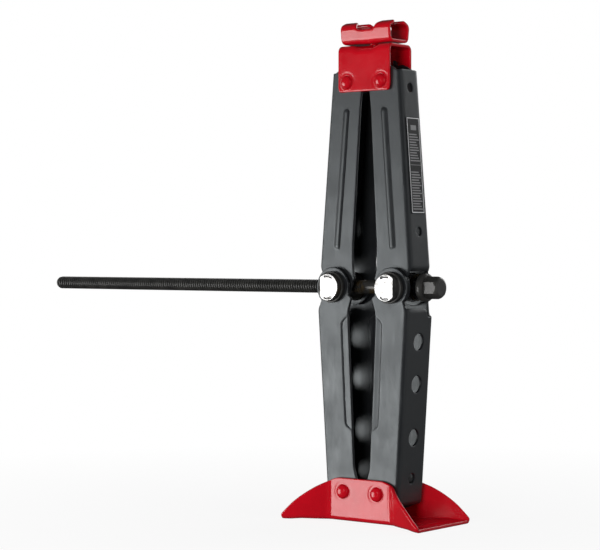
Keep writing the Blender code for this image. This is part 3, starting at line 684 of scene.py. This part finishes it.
def gear(first, last, phase):
    """Toothed sector as (angle, radius) points, angles in radians from first to last."""
    pitch = 2 * math.pi / GEAR_TEETH
    tooth = ((0.34, GEAR_ROOT), (0.27, GEAR_ROOT + 0.0012), (0.13, GEAR_TIP))
    centre = phase - math.ceil((phase - first) / pitch) * pitch
    points = [(first, GEAR_ROOT)]
    while centre < last:
        if centre - 0.34 * pitch > first and centre + 0.34 * pitch < last:
            points += [(centre - share * pitch, r) for share, r in tooth]
            points += [(centre + share * pitch, r) for share, r in tooth[::-1]]
        centre += pitch
    return points + [(last, GEAR_ROOT)]


def gear_end(side):
    """End of an arm as (v, u) points round its pivot, from the free edge to the web."""
    phase = TILT + side * 0.25 * 2 * math.pi / GEAR_TEETH
    teeth = gear(math.radians(-20), math.radians(105), phase)
    points = [(-r * math.cos(b), -r * math.sin(b)) for b, r in teeth]
    return points + arc((0, 0), GEAR_ROOT, -65, -52, 2)


def mirrored(half, other=None):
    """Closed outline from its half on the positive side, which starts and ends near the
    middle line. The other half mirrors it, or mirrors other if that is given."""
    return half + [(-p[0], *p[1:]) for p in (other or half)[::-1]]


def circle(centre, radius, steps=40):
    return arc(centre, radius, 0, 360, steps)[:-1]


def arm_grid(arm):
    """Grid lines of an arm's blank, close together at bends, ribs and curled ends."""
    flat = arm_widths(arm, LINK / 2)[0] - ARM_BEND
    side = flat + (ARM_BEND - ARM_SHEET / 2) * math.pi / 2
    widest = across(arm, -0.0185, LINK / 2)
    s = np.r_[0.0012 : flat - 0.0003 : 0.0017, flat:side:7j, side + 0.0008 : widest : 0.00042]
    past_end = 0.0175
    u = np.r_[-past_end : LINK + past_end : 0.0021]
    for end in arm["web_ends"]:
        u = np.r_[u, end - 0.0060 : end + 0.0061 : 0.0007]
    rib_ends = ((0.0440, 0.0540), (0.1290, 0.1375))
    if arm is UPPER:
        rib_ends = ((0.0275, 0.0360), (0.1300, 0.1395))
    for start, stop in rib_ends:
        u = np.r_[u[(u <= start) | (u >= stop)], start:stop:0.0005]
    u = np.sort(u)
    return both_sides(s), u[np.concatenate([[True], np.diff(u) > 0.0003])]


def arm_holes(arm):
    """Holes of an arm's blank, in its web and through both flanges."""
    holes = [circle((0.0, u), r, 36) for u, r in arm["holes"]]
    for mark in (1, -1):
        for radius, u in ((RIVET_HOLE, arm["pivot"]), (TRUNNION_HOLE, arm["trunnion"])):
            hole = [(mark * float(across(arm, v, w)), w) for v, w in circle((0.0, u), radius)]
            holes.append(hole[::-1] if mark > 0 else hole)
    return holes


def bent_arm(arm, side, name, back, front):
    """Arm from the two halves of its outline."""
    outline = soften(mirrored(back, front))
    surface = arm_surface(arm, side)
    piece = sheet(name, surface, outline, arm_holes(arm), ARM_SHEET, arm_grid(arm), side)
    settle(piece, name, "black_powder_coat", BLACK, name)


def lower_arm(side, name):
    """The web's back corner beside the trunnion is cut off by the relief, because the upper
    arm's wide back flange folds in there."""
    low, high = LOWER["web_ends"]
    flat = arm_widths(LOWER, 0.0)[0] - ARM_BEND
    start = arc((0, 0), GEAR_ROOT, -52, -65, 2)
    foot = float(across(LOWER, 0.0150, low))
    corner = float(across(LOWER, 0.0130, high))

    def half(edge, relief=0.0):
        points = [(flat - 0.0020, low, 0.0015), (foot, low - 0.0004, 0.0015)]
        points += flange(LOWER, start + gear_end(side)[:-3][::-1])
        points += flange(LOWER, [(v, u, 0.0030) for v, u in edge])
        points += flange(LOWER, arc((0, LINK), LOWER["ear"], 178, -38, 30))
        top = high - relief
        points += [(corner, top + 0.0032, 0.0016), (corner - 0.0010, top + 0.0006, 0.0020)]
        if relief:
            points.append((flat - 0.0034, top, 0.0020))
        return points + [(flat - (0.0062 if relief else 0.0026), high, 0.0024)]

    bent_arm(LOWER, side, name, half(LOWER["back"], LOWER["relief"]), half(LOWER["front"]))


def upper_arm(side, name):
    low, high = UPPER["web_ends"]
    flat = arm_widths(UPPER, LINK)[0] - ARM_BEND
    corner = float(across(UPPER, 0.0135, low))
    shoulder = float(across(UPPER, 0.0140, high))
    end = [(v, LINK - u) for v, u in gear_end(side)]

    def half(edge):
        points = [(flat - 0.0020, low, 0.0020), (corner - 0.0010, low - 0.0006, 0.0016)]
        points += [(corner, low - 0.0032, 0.0016)]
        points += flange(UPPER, arc((0, 0), UPPER["ear"], 30, -178, 30))
        points += flange(UPPER, [(v, u, 0.0030) for v, u in edge])
        points += flange(UPPER, end)
        return points + [(shoulder, high - 0.0006, 0.0020), (flat - 0.0004, high, 0.0030)]

    bent_arm(UPPER, side, name, half(UPPER["back"]), half(UPPER["front"]))


# ---- base, bracket and saddle


def base_shape(x):
    """Half width of the sole, height of the walls and their lean at x. The walls spread
    from spread_from and their tops fall from fall_from, both softened over a few mm."""
    length = BASE_BOX[1].x
    spread_from, fall_from = 0.0305, 0.0205
    spread = 0.0
    fall = 0.0
    offsets = np.linspace(-0.0030, 0.0030, 7)
    for offset in offsets:
        a = np.abs(x) + offset
        spread = spread + np.clip((a - spread_from) / (length - spread_from), 0, 1.1) ** 0.8
        fall = fall + np.clip((a - fall_from) / (length - fall_from), 0, 1.1) ** 1.45
    spread, fall = spread / len(offsets), fall / len(offsets)
    half = BASE_WAIST + (BASE_HALF_WIDTH - BASE_WAIST) * np.minimum(spread, 1.0)
    top = BASE_BOX[1].z - (BASE_BOX[1].z - BASE_RIM) * np.minimum(fall, 1.0)
    lean = math.radians(22) * np.minimum(spread, 1.0)
    return half, top, lean


def base_rise(x):
    """The sole stands a little higher between its two ends."""
    return 0.0008 * (1 - smooth((np.abs(x) - 0.0490) / 0.0120))


def rivet_dents(x, z, pivot_z, depth=0.00016):
    """Shallow ring that the riveting tool leaves round each pivot rivet."""
    away = np.hypot(np.abs(x) - BASE_PIVOT.x, z - pivot_z)
    return -depth * np.exp(-(((away - 0.0070) / 0.0009) ** 2))


def rivet_holes(pivot, blank, upwards):
    """Holes of a pair of pivot rivets in both walls of a blank. blank gives the blank
    coordinate of a wall's point (x, z), which grows upwards or downwards."""
    holes = []
    for mark in (1, -1):
        for x in (-pivot.x, pivot.x):
            points = circle((x, pivot.z), RIVET_HOLE, 28)
            hole = [(mark * blank(px, z), px) for px, z in points]
            holes.append(hole[::-1] if (mark > 0) == upwards else hole)
    return holes


def base_plate():
    bend = BASE_BEND - BASE_SHEET / 2

    def surface(s, x):
        half, _, lean = base_shape(x)
        turn, past, y = folded(s, half - BASE_BEND, bend, math.pi / 2 - lean)
        y = y + past * np.sin(lean)
        z = BASE_BEND - bend * np.cos(turn) + past * np.cos(lean)
        y = y + rivet_dents(x, z, BASE_PIVOT.z) * smooth((past - 0.001) / 0.002)
        z = z + base_rise(x) * (1 - smooth(past / 0.020))
        ridge = np.exp(-(((np.abs(x) - 0.0555) / 0.0016) ** 2))
        ridge = ridge * smooth((0.0250 - np.abs(s)) / 0.0050)
        pip = np.exp(-((np.hypot(x - 0.0465, s + 0.0090) / 0.0016) ** 2))
        z = z + 0.0005 * ridge + 0.0007 * pip
        return np.stack([x, np.sign(s) * y, z], axis=1)

    def reach(x):
        half, top, lean = base_shape(x)
        wall = (top - BASE_BEND + bend * np.sin(lean)) / np.cos(lean)
        return half - BASE_BEND + bend * (math.pi / 2 - lean) + wall

    length = BASE_BOX[1].x - 0.0002
    xs = np.linspace(-length, length, 90)
    side = [(float(reach(np.array(x))), float(x)) for x in xs]
    side[0] = (*side[0], 0.0030)
    side[-1] = (*side[-1], 0.0030)
    outline = soften(mirrored(side))
    wall = BASE_WAIST - BASE_BEND + bend * math.pi / 2 - BASE_BEND
    holes = rivet_holes(BASE_PIVOT, lambda x, z: wall + z, True)
    s = both_sides(np.r_[0:0.0150:0.0015, 0.0150:0.0560:0.0007])
    x = np.r_[-length:-0.0275:0.0012, -0.0275:0.0275:0.0007, 0.0275:length:0.0012]
    name = "base_plate_pressed"
    piece = sheet(name, surface, outline, holes, BASE_SHEET, (s, x), 1.0, 0.0007, 0.0014)
    settle(piece, "base", "red_paint", RED, "base_plate")


def bracket_top(x):
    """Height of the bracket's top at x. A shallow trough crosses its middle."""
    slope = np.clip((np.abs(x) - 0.0050) / (0.0150 - 0.0050), 0, 1)
    return BRACKET_BOX[1].z - BRACKET_TROUGH * (1 + np.cos(math.pi * slope)) / 2


def top_bracket():
    bend = BRACKET_BEND - BRACKET_SHEET / 2
    half = BRACKET_BOX[1].y
    flat = half - BRACKET_BEND
    arc_length = bend * math.pi / 2

    def surface(s, x):
        turn, past, y = folded(s, flat, bend)
        z = bracket_top(x) - BRACKET_BEND + bend * np.cos(turn) - past
        trough = BRACKET_BOX[1].z - bracket_top(x)
        z = z + 0.85 * trough * (1 - smooth((np.abs(s) - 0.0060) / 0.0060))
        y = y + rivet_dents(x, z, HEAD_PIVOT.z) * smooth(past / 0.003)
        return np.stack([x, np.sign(s) * y, z], axis=1)

    def down(x, z):
        """Blank coordinate of height z on the wall at x."""
        return float(flat + arc_length + bracket_top(x) - BRACKET_BEND - z)

    length = BRACKET_BOX[1].x
    bottom = BRACKET_BOX[0].z
    side = [(down(x, bottom), float(x)) for x in np.linspace(-length, length, 76)]
    side[0] = (*side[0], 0.0050)
    side[-1] = (*side[-1], 0.0058)
    del side[1:9], side[-9:-1]
    outline = soften(mirrored(side), steps=6)
    holes = rivet_holes(HEAD_PIVOT, down, False)
    holes.append(circle((0.0, 0.0), SADDLE_RIVET_HOLE, 24))
    wall = flat + arc_length
    s = np.r_[0:flat:0.0016, flat:wall:8j, wall + 0.0009 : 0.0480 : 0.0007]
    grid = both_sides(s), np.arange(-length, length, 0.0007)
    name = "head_bracket_pressed"
    piece = sheet(name, surface, outline, holes, BRACKET_SHEET, grid, -1.0, 0.0007, 0.0012)
    settle(piece, "head", "red_paint", RED, "top_bracket")


def saddle():
    low_bend = SADDLE_BEND - SADDLE_SHEET / 2
    lip_bend = LIP_BEND - SADDLE_SHEET / 2
    half = SADDLE_BOX[1].y
    floor, top = SADDLE_BOX[0].z, SADDLE_BOX[1].z
    rise = lip_bend * math.sin(LIP_TURN) + LIP_REACH * math.cos(LIP_TURN)
    shoulder = top - rise - SADDLE_SHEET / 2 * math.sin(LIP_TURN)
    flat = half - SADDLE_BEND
    wall_start = flat + low_bend * math.pi / 2
    wall_end = wall_start + shoulder - floor - SADDLE_BEND
    lip_start = wall_end + lip_bend * LIP_TURN
    lip_end = lip_start + LIP_REACH

    def surface(s, x):
        a = np.abs(s)
        turn, past, y = folded(s, flat, low_bend)
        wall = np.minimum(past, wall_end - wall_start)
        curl = np.clip((a - wall_end) / lip_bend, 0, LIP_TURN)
        lip = np.maximum(a - lip_start, 0)
        y = y - lip_bend * (1 - np.cos(curl)) - lip * math.sin(LIP_TURN)
        y = y + 0.0008 * (wall / (wall_end - wall_start) - np.minimum(a / flat, 1) / 2)
        z = floor + SADDLE_BEND - low_bend * np.cos(turn) + wall
        z = z + lip_bend * np.sin(curl) + lip * math.cos(LIP_TURN)
        z = z - 0.0003 * (1 - smooth((np.hypot(s, x) - 0.0040) / 0.0115))
        return np.stack([x, np.sign(s) * y, z], axis=1)

    length = SADDLE_BOX[1].x

    def notched(narrow, wide):
        side = [(lip_end, -length, 0.0018), (lip_end, -wide, 0.0022)]
        side.append((wall_end - 0.0003, -narrow, 0.0024))
        return side + [(p[0], -p[1], p[2]) for p in side[::-1]]

    outline = soften(mirrored(notched(0.0072, 0.0088), notched(0.0080, 0.0110)), steps=6)
    holes = [circle((0.0, 0.0), SADDLE_RIVET_HOLE, 24)]
    s = np.r_[0:flat:0.0015, flat:wall_start:8j, wall_start + 0.0008 : wall_end : 0.0010]
    s = np.r_[s, wall_end:lip_start:8j, lip_start + 0.0008 : lip_end : 0.0009]
    grid = both_sides(s), np.arange(-length, length, 0.0011)
    name = "saddle_pressed"
    piece = sheet(name, surface, outline, holes, SADDLE_SHEET, grid, 1.0, 0.0008, 0.0011)
    settle(piece, "saddle", "red_paint", RED, "saddle")


# ---- rivets and label


def pivot_rivet(body, node, half, at, radius):
    """Round-headed rivet through a bracket and two arms, with a small foot to each dome."""
    seat = half + 0.0003
    foot = 0.0005
    one_end = [(RIVET_RADIUS, seat), (radius + 0.0004, seat), (radius + 0.0001, seat + 0.0003)]
    for a in np.radians(np.linspace(0, 86, 9)):
        rise = foot + (DOME_HEIGHT - foot) * math.sin(a)
        one_end.append((radius * math.cos(a), seat + rise))
    one_end.append((0.0, seat + DOME_HEIGHT))
    profile = [(r, -along) for r, along in one_end[::-1]] + one_end
    piece = turned(node + "_formed", profile, "Y", at, 48, sharp=40)
    settle(piece, body, "red_paint", RED, node)


def saddle_rivet():
    """Rivet that the saddle turns on, with a spacer shoulder between saddle and bracket."""
    low, high = [corner.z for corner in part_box("saddle_rivet")]
    neck = 0.0035
    under = BRACKET_BOX[1].z - BRACKET_TROUGH - 0.0027
    on_bracket = BRACKET_BOX[1].z - BRACKET_TROUGH + 0.0003
    under_saddle = SADDLE_BOX[0].z - 0.0013
    in_saddle = SADDLE_BOX[0].z + 0.0017
    profile = [(0.0, low), (0.0046, low, 0.0006), (0.0058, under, 0.0003), (neck, under)]
    profile += [(neck, on_bracket), (0.0056, on_bracket, 0.0003)]
    profile += [(0.0056, under_saddle, 0.0003), (neck, under_saddle)]
    profile += [(neck, in_saddle), (0.0062, in_saddle, 0.0004)]
    profile += [(0.0050, high - 0.0006, 0.0012), (0.0026, high, 0.0010), (0.0, high)]
    profile = soften(profile, closed=False)
    piece = turned("saddle_rivet_formed", profile, "Z", (0, 0, 0), 40, sharp=40)
    settle(piece, "head", "red_paint", RED, "saddle_rivet")


def label():
    """Blank film label with a pale border, a divided frame and plain bars."""
    low, high = 0.0550, 0.1285
    half = 0.0085
    face = arm_widths(UPPER, (low + high) / 2)[1] + 0.0003
    thick = 0.00028
    border, inset = 0.0006, 0.0006
    split = low + 0.50 * (high - low)
    edge = half - inset
    bars = [
        (-edge, edge, low + inset, low + inset + border),
        (-edge, edge, high - inset - border, high - inset),
        (-edge, -edge + border, low + inset, high - inset),
        (edge - border, edge, low + inset, high - inset),
    ]
    lines = [(-edge + 0.0011, edge - 0.0011, split, split + 0.0004)]
    lines.append((-0.0036, 0.0036, high - 0.0100, high - 0.0062))
    for count, start, shorter, turn, cycle in ((11, split, 0.0012, 5, 4), (15, low, 0.0014, 7, 3)):
        for k in range(count):
            at = start + 0.0030 + k * 0.0020
            lines.append((-0.0062, 0.0062 - shorter * (k * turn % cycle), at, at + 0.0009))
    ys = sorted({round(v, 6) for bar in bars + lines for v in bar[:2]} | {-half, half})
    us = sorted({round(v, 6) for bar in bars + lines for v in bar[2:]} | {low, high})
    verts, faces, inked = [], [], []

    def place(y, u, height):
        x = TRUNNION.x + (face + height) * math.cos(TILT) - u * math.sin(TILT)
        return (x, y, TRUNNION.z + (face + height) * math.sin(TILT) + u * math.cos(TILT))

    for height in (thick, 0.0):
        verts += [place(y, u, height) for y in ys for u in us]
    wide, long = len(ys), len(us)
    for i in range(wide - 1):
        for j in range(long - 1):
            a, b = i * long + j, (i + 1) * long + j
            faces.append((a, b, b + 1, a + 1))
            y, u = (ys[i] + ys[i + 1]) / 2, (us[j] + us[j + 1]) / 2
            ink = 0
            for number, group in ((1, bars), (2, lines)):
                if any(q[0] < y < q[1] and q[2] < u < q[3] for q in group):
                    ink += number
            inked.append(ink)
    count = wide * long
    faces += [tuple(c + count for c in quad[::-1]) for quad in faces[:]]
    inked += [0] * (len(faces) - len(inked))
    rim = [i * long for i in range(wide)] + [(wide - 1) * long + j for j in range(1, long)]
    rim += [i * long + long - 1 for i in range(wide - 2, -1, -1)] + list(range(long - 2, 0, -1))
    for a, b in zip(rim, rim[1:] + rim[:1]):
        faces.append((a, b, b + count, a + count))
        inked.append(0)
    piece = finish_mesh("blank_label", verts, faces, 30)
    settle(piece, "upper_arm_right", "label_film", FILM, "label_plate")
    piece.data.materials.append(INK)
    piece.data.materials.append(GREY_INK)
    for polygon, ink in zip(piece.data.polygons, inked):
        polygon.material_index = min(ink, 2)


# ---- trunnions and screw


def pin(side, body, node, seat):
    """Cross pin with a flat on the outer side of each end, seen from its end as a D."""
    bevel = 0.0007
    step = PIN_HALF - 0.0055
    tiny = 0.00001
    end = [(PIN_RADIUS, step - tiny), (PIN_RADIUS, step + tiny), (PIN_RADIUS, PIN_HALF - bevel)]
    end += [(PIN_RADIUS - 0.0002, PIN_HALF - 0.0002), (PIN_RADIUS - bevel, PIN_HALF)]
    rings = (*np.arange(0.0096, 0.0070, -0.0003), 0.0060, 0.0040, 0.0020, 0.0)
    end += [(r, PIN_HALF) for r in rings]
    profile = [(r, -y) for r, y in end[::-1]] + end

    def shape(verts):
        x, y, z = verts.T.copy()
        outer = side * x
        flat = np.where(np.abs(y) > step, PIN_FLAT, 1.0)
        if seat:
            flat = np.where(np.abs(y) < SEAT_HALF, SEAT_FLAT, flat)
        flat = flat - np.where(np.abs(y) > PIN_HALF - bevel / 2, 0.0003, 0.0)
        x = side * np.minimum(outer, flat)
        face = np.abs(y) > PIN_HALF - 0.00005
        mark = np.exp(-(((np.hypot(x, z) - 0.0086) / 0.0006) ** 2))
        mark = mark * smooth((0.0040 - np.abs(x + side * 0.0008)) / 0.0012)
        y = y - np.sign(y) * np.where(face, 0.00042 * mark, 0.0)
        return np.stack([x, y, z], axis=1)

    if seat:
        ends = [(PIN_RADIUS, SEAT_HALF - tiny), (PIN_RADIUS, SEAT_HALF + tiny)]
        middle = [(r, -y) for r, y in ends[::-1]] + ends
        profile = profile[: len(end)] + middle + profile[len(end) :]
    at = (side * TRUNNION.x, 0, TRUNNION.z)
    piece = turned(node + "_turned", profile, "Y", at, 96, shape=shape, sharp=32)
    bored(piece, SCREW_RADIUS + 0.0002, "X", at)
    settle(piece, body, "machined_steel", BRIGHT, node)
    piece.data.materials.append(OILED)
    for polygon in piece.data.polygons:
        polygon.material_index = 0 if abs(polygon.center.y) > PIN_HALF - bevel * 0.6 else 1


def pin_rings(side, body, where):
    at = (side * TRUNNION.x, 0, TRUNNION.z)
    for end in ("front", "back"):
        for kind, outer, fillet, slot, finish in (
            ("spacer_washer", WASHER_RADIUS, 0.0003, "zinc_plated_steel", ZINC),
            ("trunnion_collar", COLLAR_RADIUS, 0.0007, "black_phosphate_steel", PHOSPHATE),
        ):
            node = f"{kind}_{where}_{end}"
            piece = ring(node, "_turned", "Y", at, PIN_RADIUS + 0.0002, outer, fillet)
            settle(piece, body, slot, finish, node)


def lead_screw():
    """Screw with a rolled thread, a plain shank in the block, a flange and a chamfered
    hexagonal drive head."""
    tip, end = SCREW_BOX[0].x, SCREW_BOX[1].x
    profile = []
    for a in np.radians((0, 15, 32, 50, 68)):
        profile.append((SCREW_RADIUS * math.sin(a), tip + SCREW_RADIUS * (1 - math.cos(a))))
    rows = np.arange(tip + 0.0046, THREAD_END_X + 0.0060, THREAD_PITCH / 8)
    profile += [(SCREW_RADIUS, x) for x in rows]
    collar = [(SCREW_RADIUS, THREAD_END_X + 0.0065), (SCREW_RADIUS, FLANGE_X, 0.0002)]
    collar += [(FLANGE_RADIUS, FLANGE_X, 0.0006), (FLANGE_RADIUS, HEX_START_X - 0.0016, 0.0004)]
    collar += [(FLANGE_RADIUS - 0.0012, HEX_START_X, 0.0004), (0.0086, HEX_START_X)]
    profile += soften(collar, closed=False)
    corner = HEX_ACROSS / math.sqrt(3)
    rounding = 0.0030
    round_from = end - rounding
    rows = (HEX_START_X + 0.00002, *np.linspace(HEX_START_X + 0.0015, round_from, 5))
    profile += [(corner, x) for x in rows]
    for a in np.radians((12, 24, 36, 48, 60, 72, 84, 90)):
        radius = corner - rounding + rounding * math.cos(a)
        profile.append((radius, round_from + rounding * math.sin(a)))
    profile += [(0.0030, end), (0.0, end)]

    def shape(verts):
        across_y, x, across_z = verts.T
        radius = np.hypot(across_y, across_z)
        turn = np.arctan2(across_z, across_y)
        phase = (x / THREAD_PITCH - turn / (2 * math.pi)) % 1.0
        groove = smooth((0.36 - np.abs(phase - 0.5)) / 0.24)
        run = smooth((x - tip - 0.0030) / 0.0040) * smooth((THREAD_END_X + 0.0040 - x) / 0.0040)
        cut = np.where(x < THREAD_END_X + 0.0060, THREAD_DEPTH * groove * run, 0.0)
        hexagon = HEX_ACROSS / 2 / np.cos((turn + math.pi / 6) % (math.pi / 3) - math.pi / 6)
        limit = np.where(x > HEX_START_X + 0.00001, hexagon, 1.0)
        scale = np.minimum(radius - cut, limit) / np.maximum(radius, 1e-9)
        return np.stack([across_y * scale, x, across_z * scale], axis=1)

    at = (0, 0, TRUNNION.z)
    piece = turned("lead_screw_threaded", profile, "X", at, 48, shape=shape, sharp=38)
    settle(piece, "screw", "black_phosphate_steel", OILED, "lead_screw")


def bearing():
    """Races, cage and balls of the thrust bearing, and the lock ring inside the block."""
    at = (0, 0, TRUNNION.z)
    for node, body in (("thrust_race_inner", "thrust_block"), ("thrust_race_outer", "screw")):
        piece = ring(node, "_ground", "X", at, SCREW_RADIUS + 0.0003, None, 0.0006)
        settle(piece, body, "bearing_steel", BEARING, node)
    node = "screw_lock_ring"
    piece = ring(node, "_turned", "X", at, SCREW_RADIUS + 0.0002, None, 0.0005, 56)
    settle(piece, "screw", "zinc_plated_steel", ZINC, node)
    for name, node in frame["nodes"].items():
        if name == "ball_cage" or name.startswith("thrust_ball"):
            node.data.materials.clear()
            node.data.materials.append(BRASS if name == "ball_cage" else BEARING)
        if name.startswith("thrust_ball"):
            node.data.shade_smooth()
            finer = node.modifiers.new("round", "SUBSURF")
            finer.levels = finer.render_levels = 2
        if name == "ball_cage":
            node.data.set_sharp_from_angle(angle=math.radians(35))
            rounded = node.modifiers.new("edges", "BEVEL")
            rounded.width = 0.00012
            rounded.limit_method = "ANGLE"
            rounded.angle_limit = math.radians(50)


# ---- camera, floor and light


def camera():
    data = bpy.data.cameras.new("camera")
    data.lens = 115.9
    data.sensor_width = 36.0
    data.clip_start, data.clip_end = 0.05, 30.0
    cam = linked("camera", data)
    cam.location = (0.8827, -1.2023, 0.2092)
    ahead = Vector((-0.6225, 0.7826, -0.0128))
    cam.rotation_euler = ahead.to_track_quat("-Z", "Y").to_euler()
    bpy.context.scene.camera = cam


def softbox(name, azimuth, elevation, distance, size, power):
    """Rectangular light that looks at the jack. Azimuth 0 is in front, 90 on the right."""
    data = bpy.data.lights.new(name, "AREA")
    data.shape = "RECTANGLE"
    data.size, data.size_y = size
    data.energy = power
    lamp = linked(name, data)
    a, e = math.radians(azimuth), math.radians(elevation)
    way = Vector((math.sin(a) * math.cos(e), -math.cos(a) * math.cos(e), math.sin(e)))
    lamp.location = Vector((0, 0, 0.19)) + way * distance
    lamp.rotation_euler = way.to_track_quat("Z", "Y").to_euler()
    return lamp


def studio():
    scene = bpy.context.scene
    scene.view_settings.view_transform = "Standard"
    world = bpy.data.worlds.new("studio")
    scene.world = world
    world.use_nodes = True
    nodes, links = world.node_tree.nodes, world.node_tree.links
    back = nodes["Background"]
    back.inputs["Color"].default_value = (0.93, 0.96, 1.0, 1.0)
    back.inputs["Strength"].default_value = 0.06
    seen = nodes.new("ShaderNodeBackground")
    seen.inputs["Color"].default_value = (1, 1, 1, 1)
    path = nodes.new("ShaderNodeLightPath")
    mix = nodes.new("ShaderNodeMixShader")
    links.new(path.outputs["Is Camera Ray"], mix.inputs[0])
    links.new(back.outputs[0], mix.inputs[1])
    links.new(seen.outputs[0], mix.inputs[2])
    links.new(mix.outputs[0], nodes["World Output"].inputs["Surface"])
    softbox("key", -45, -10.3, 1.42, (0.75, 0.77), 9.2)
    softbox("front", 12, 2, 1.30, (0.55, 0.60), 12).visible_glossy = False
    softbox("right", 82, 6, 1.30, (0.50, 0.60), 4.5).visible_glossy = False
    softbox("right_sheen", 95, 8, 1.50, (1.00, 1.20), 1.3)
    softbox("left_sheen", -105, 8, 1.50, (1.00, 1.20), 1.9)
    softbox("right_back", 141, 2, 1.40, (1.20, 1.20), 0.6)
    softbox("back", 172, 24, 1.50, (0.60, 1.10), 6)


def floor():
    bpy.ops.mesh.primitive_circle_add(vertices=96, radius=4.0, fill_type="NGON")
    piece = bpy.context.object
    piece.name = "floor"
    piece.location.z = -0.0002
    n = Nodes("floor_paper")
    split = n.add("SeparateXYZ", Vector=n.place)
    far = n.between(n.radius(split.outputs["X"], split.outputs["Y"]), 0.90, 1.0, 0.10, 0.60)
    grain = n.noise(0.004)
    tone = n.mix(grain, (0.90, 0.90, 0.90), (0.93, 0.93, 0.93))
    piece.data.materials.append(n.done(tone, 0.9, Specular_IOR_Level=0.1))
    glow = n.add("Emission", Color=(1, 1, 1, 1), Strength=1.0)
    blend = n.add("MixShader")
    n.set(blend, "0", far)
    n.set(blend, "1", n.shader.outputs[0])
    n.set(blend, "2", glow.outputs[0])
    n.set(n.tree.nodes["Material Output"], "Surface", blend.outputs[0])
    piece.visible_glossy = piece.visible_diffuse = piece.visible_shadow = False


# ---- assembly

camera()
studio()
floor()

base_plate()
for mark, word in ((-1, "left"), (1, "right")):
    at = (mark * BASE_PIVOT.x, 0, BASE_PIVOT.z)
    pivot_rivet("base", f"base_pivot_rivet_{word}", BASE_WAIST, at, BASE_DOME)
    lower_arm(mark, f"lower_arm_{word}")
    upper_arm(mark, f"upper_arm_{word}")
    at = (mark * HEAD_PIVOT.x, 0, HEAD_PIVOT.z)
    pivot_rivet("head", f"head_pivot_rivet_{word}", BRACKET_BOX[1].y, at, HEAD_DOME)
label()
top_bracket()
saddle_rivet()
saddle()
pin(-1, "nut", "nut_trunnion", False)
pin(1, "thrust_block", "thrust_trunnion", True)
pin_rings(-1, "nut", "left")
pin_rings(1, "thrust_block", "right")
lead_screw()
bearing()
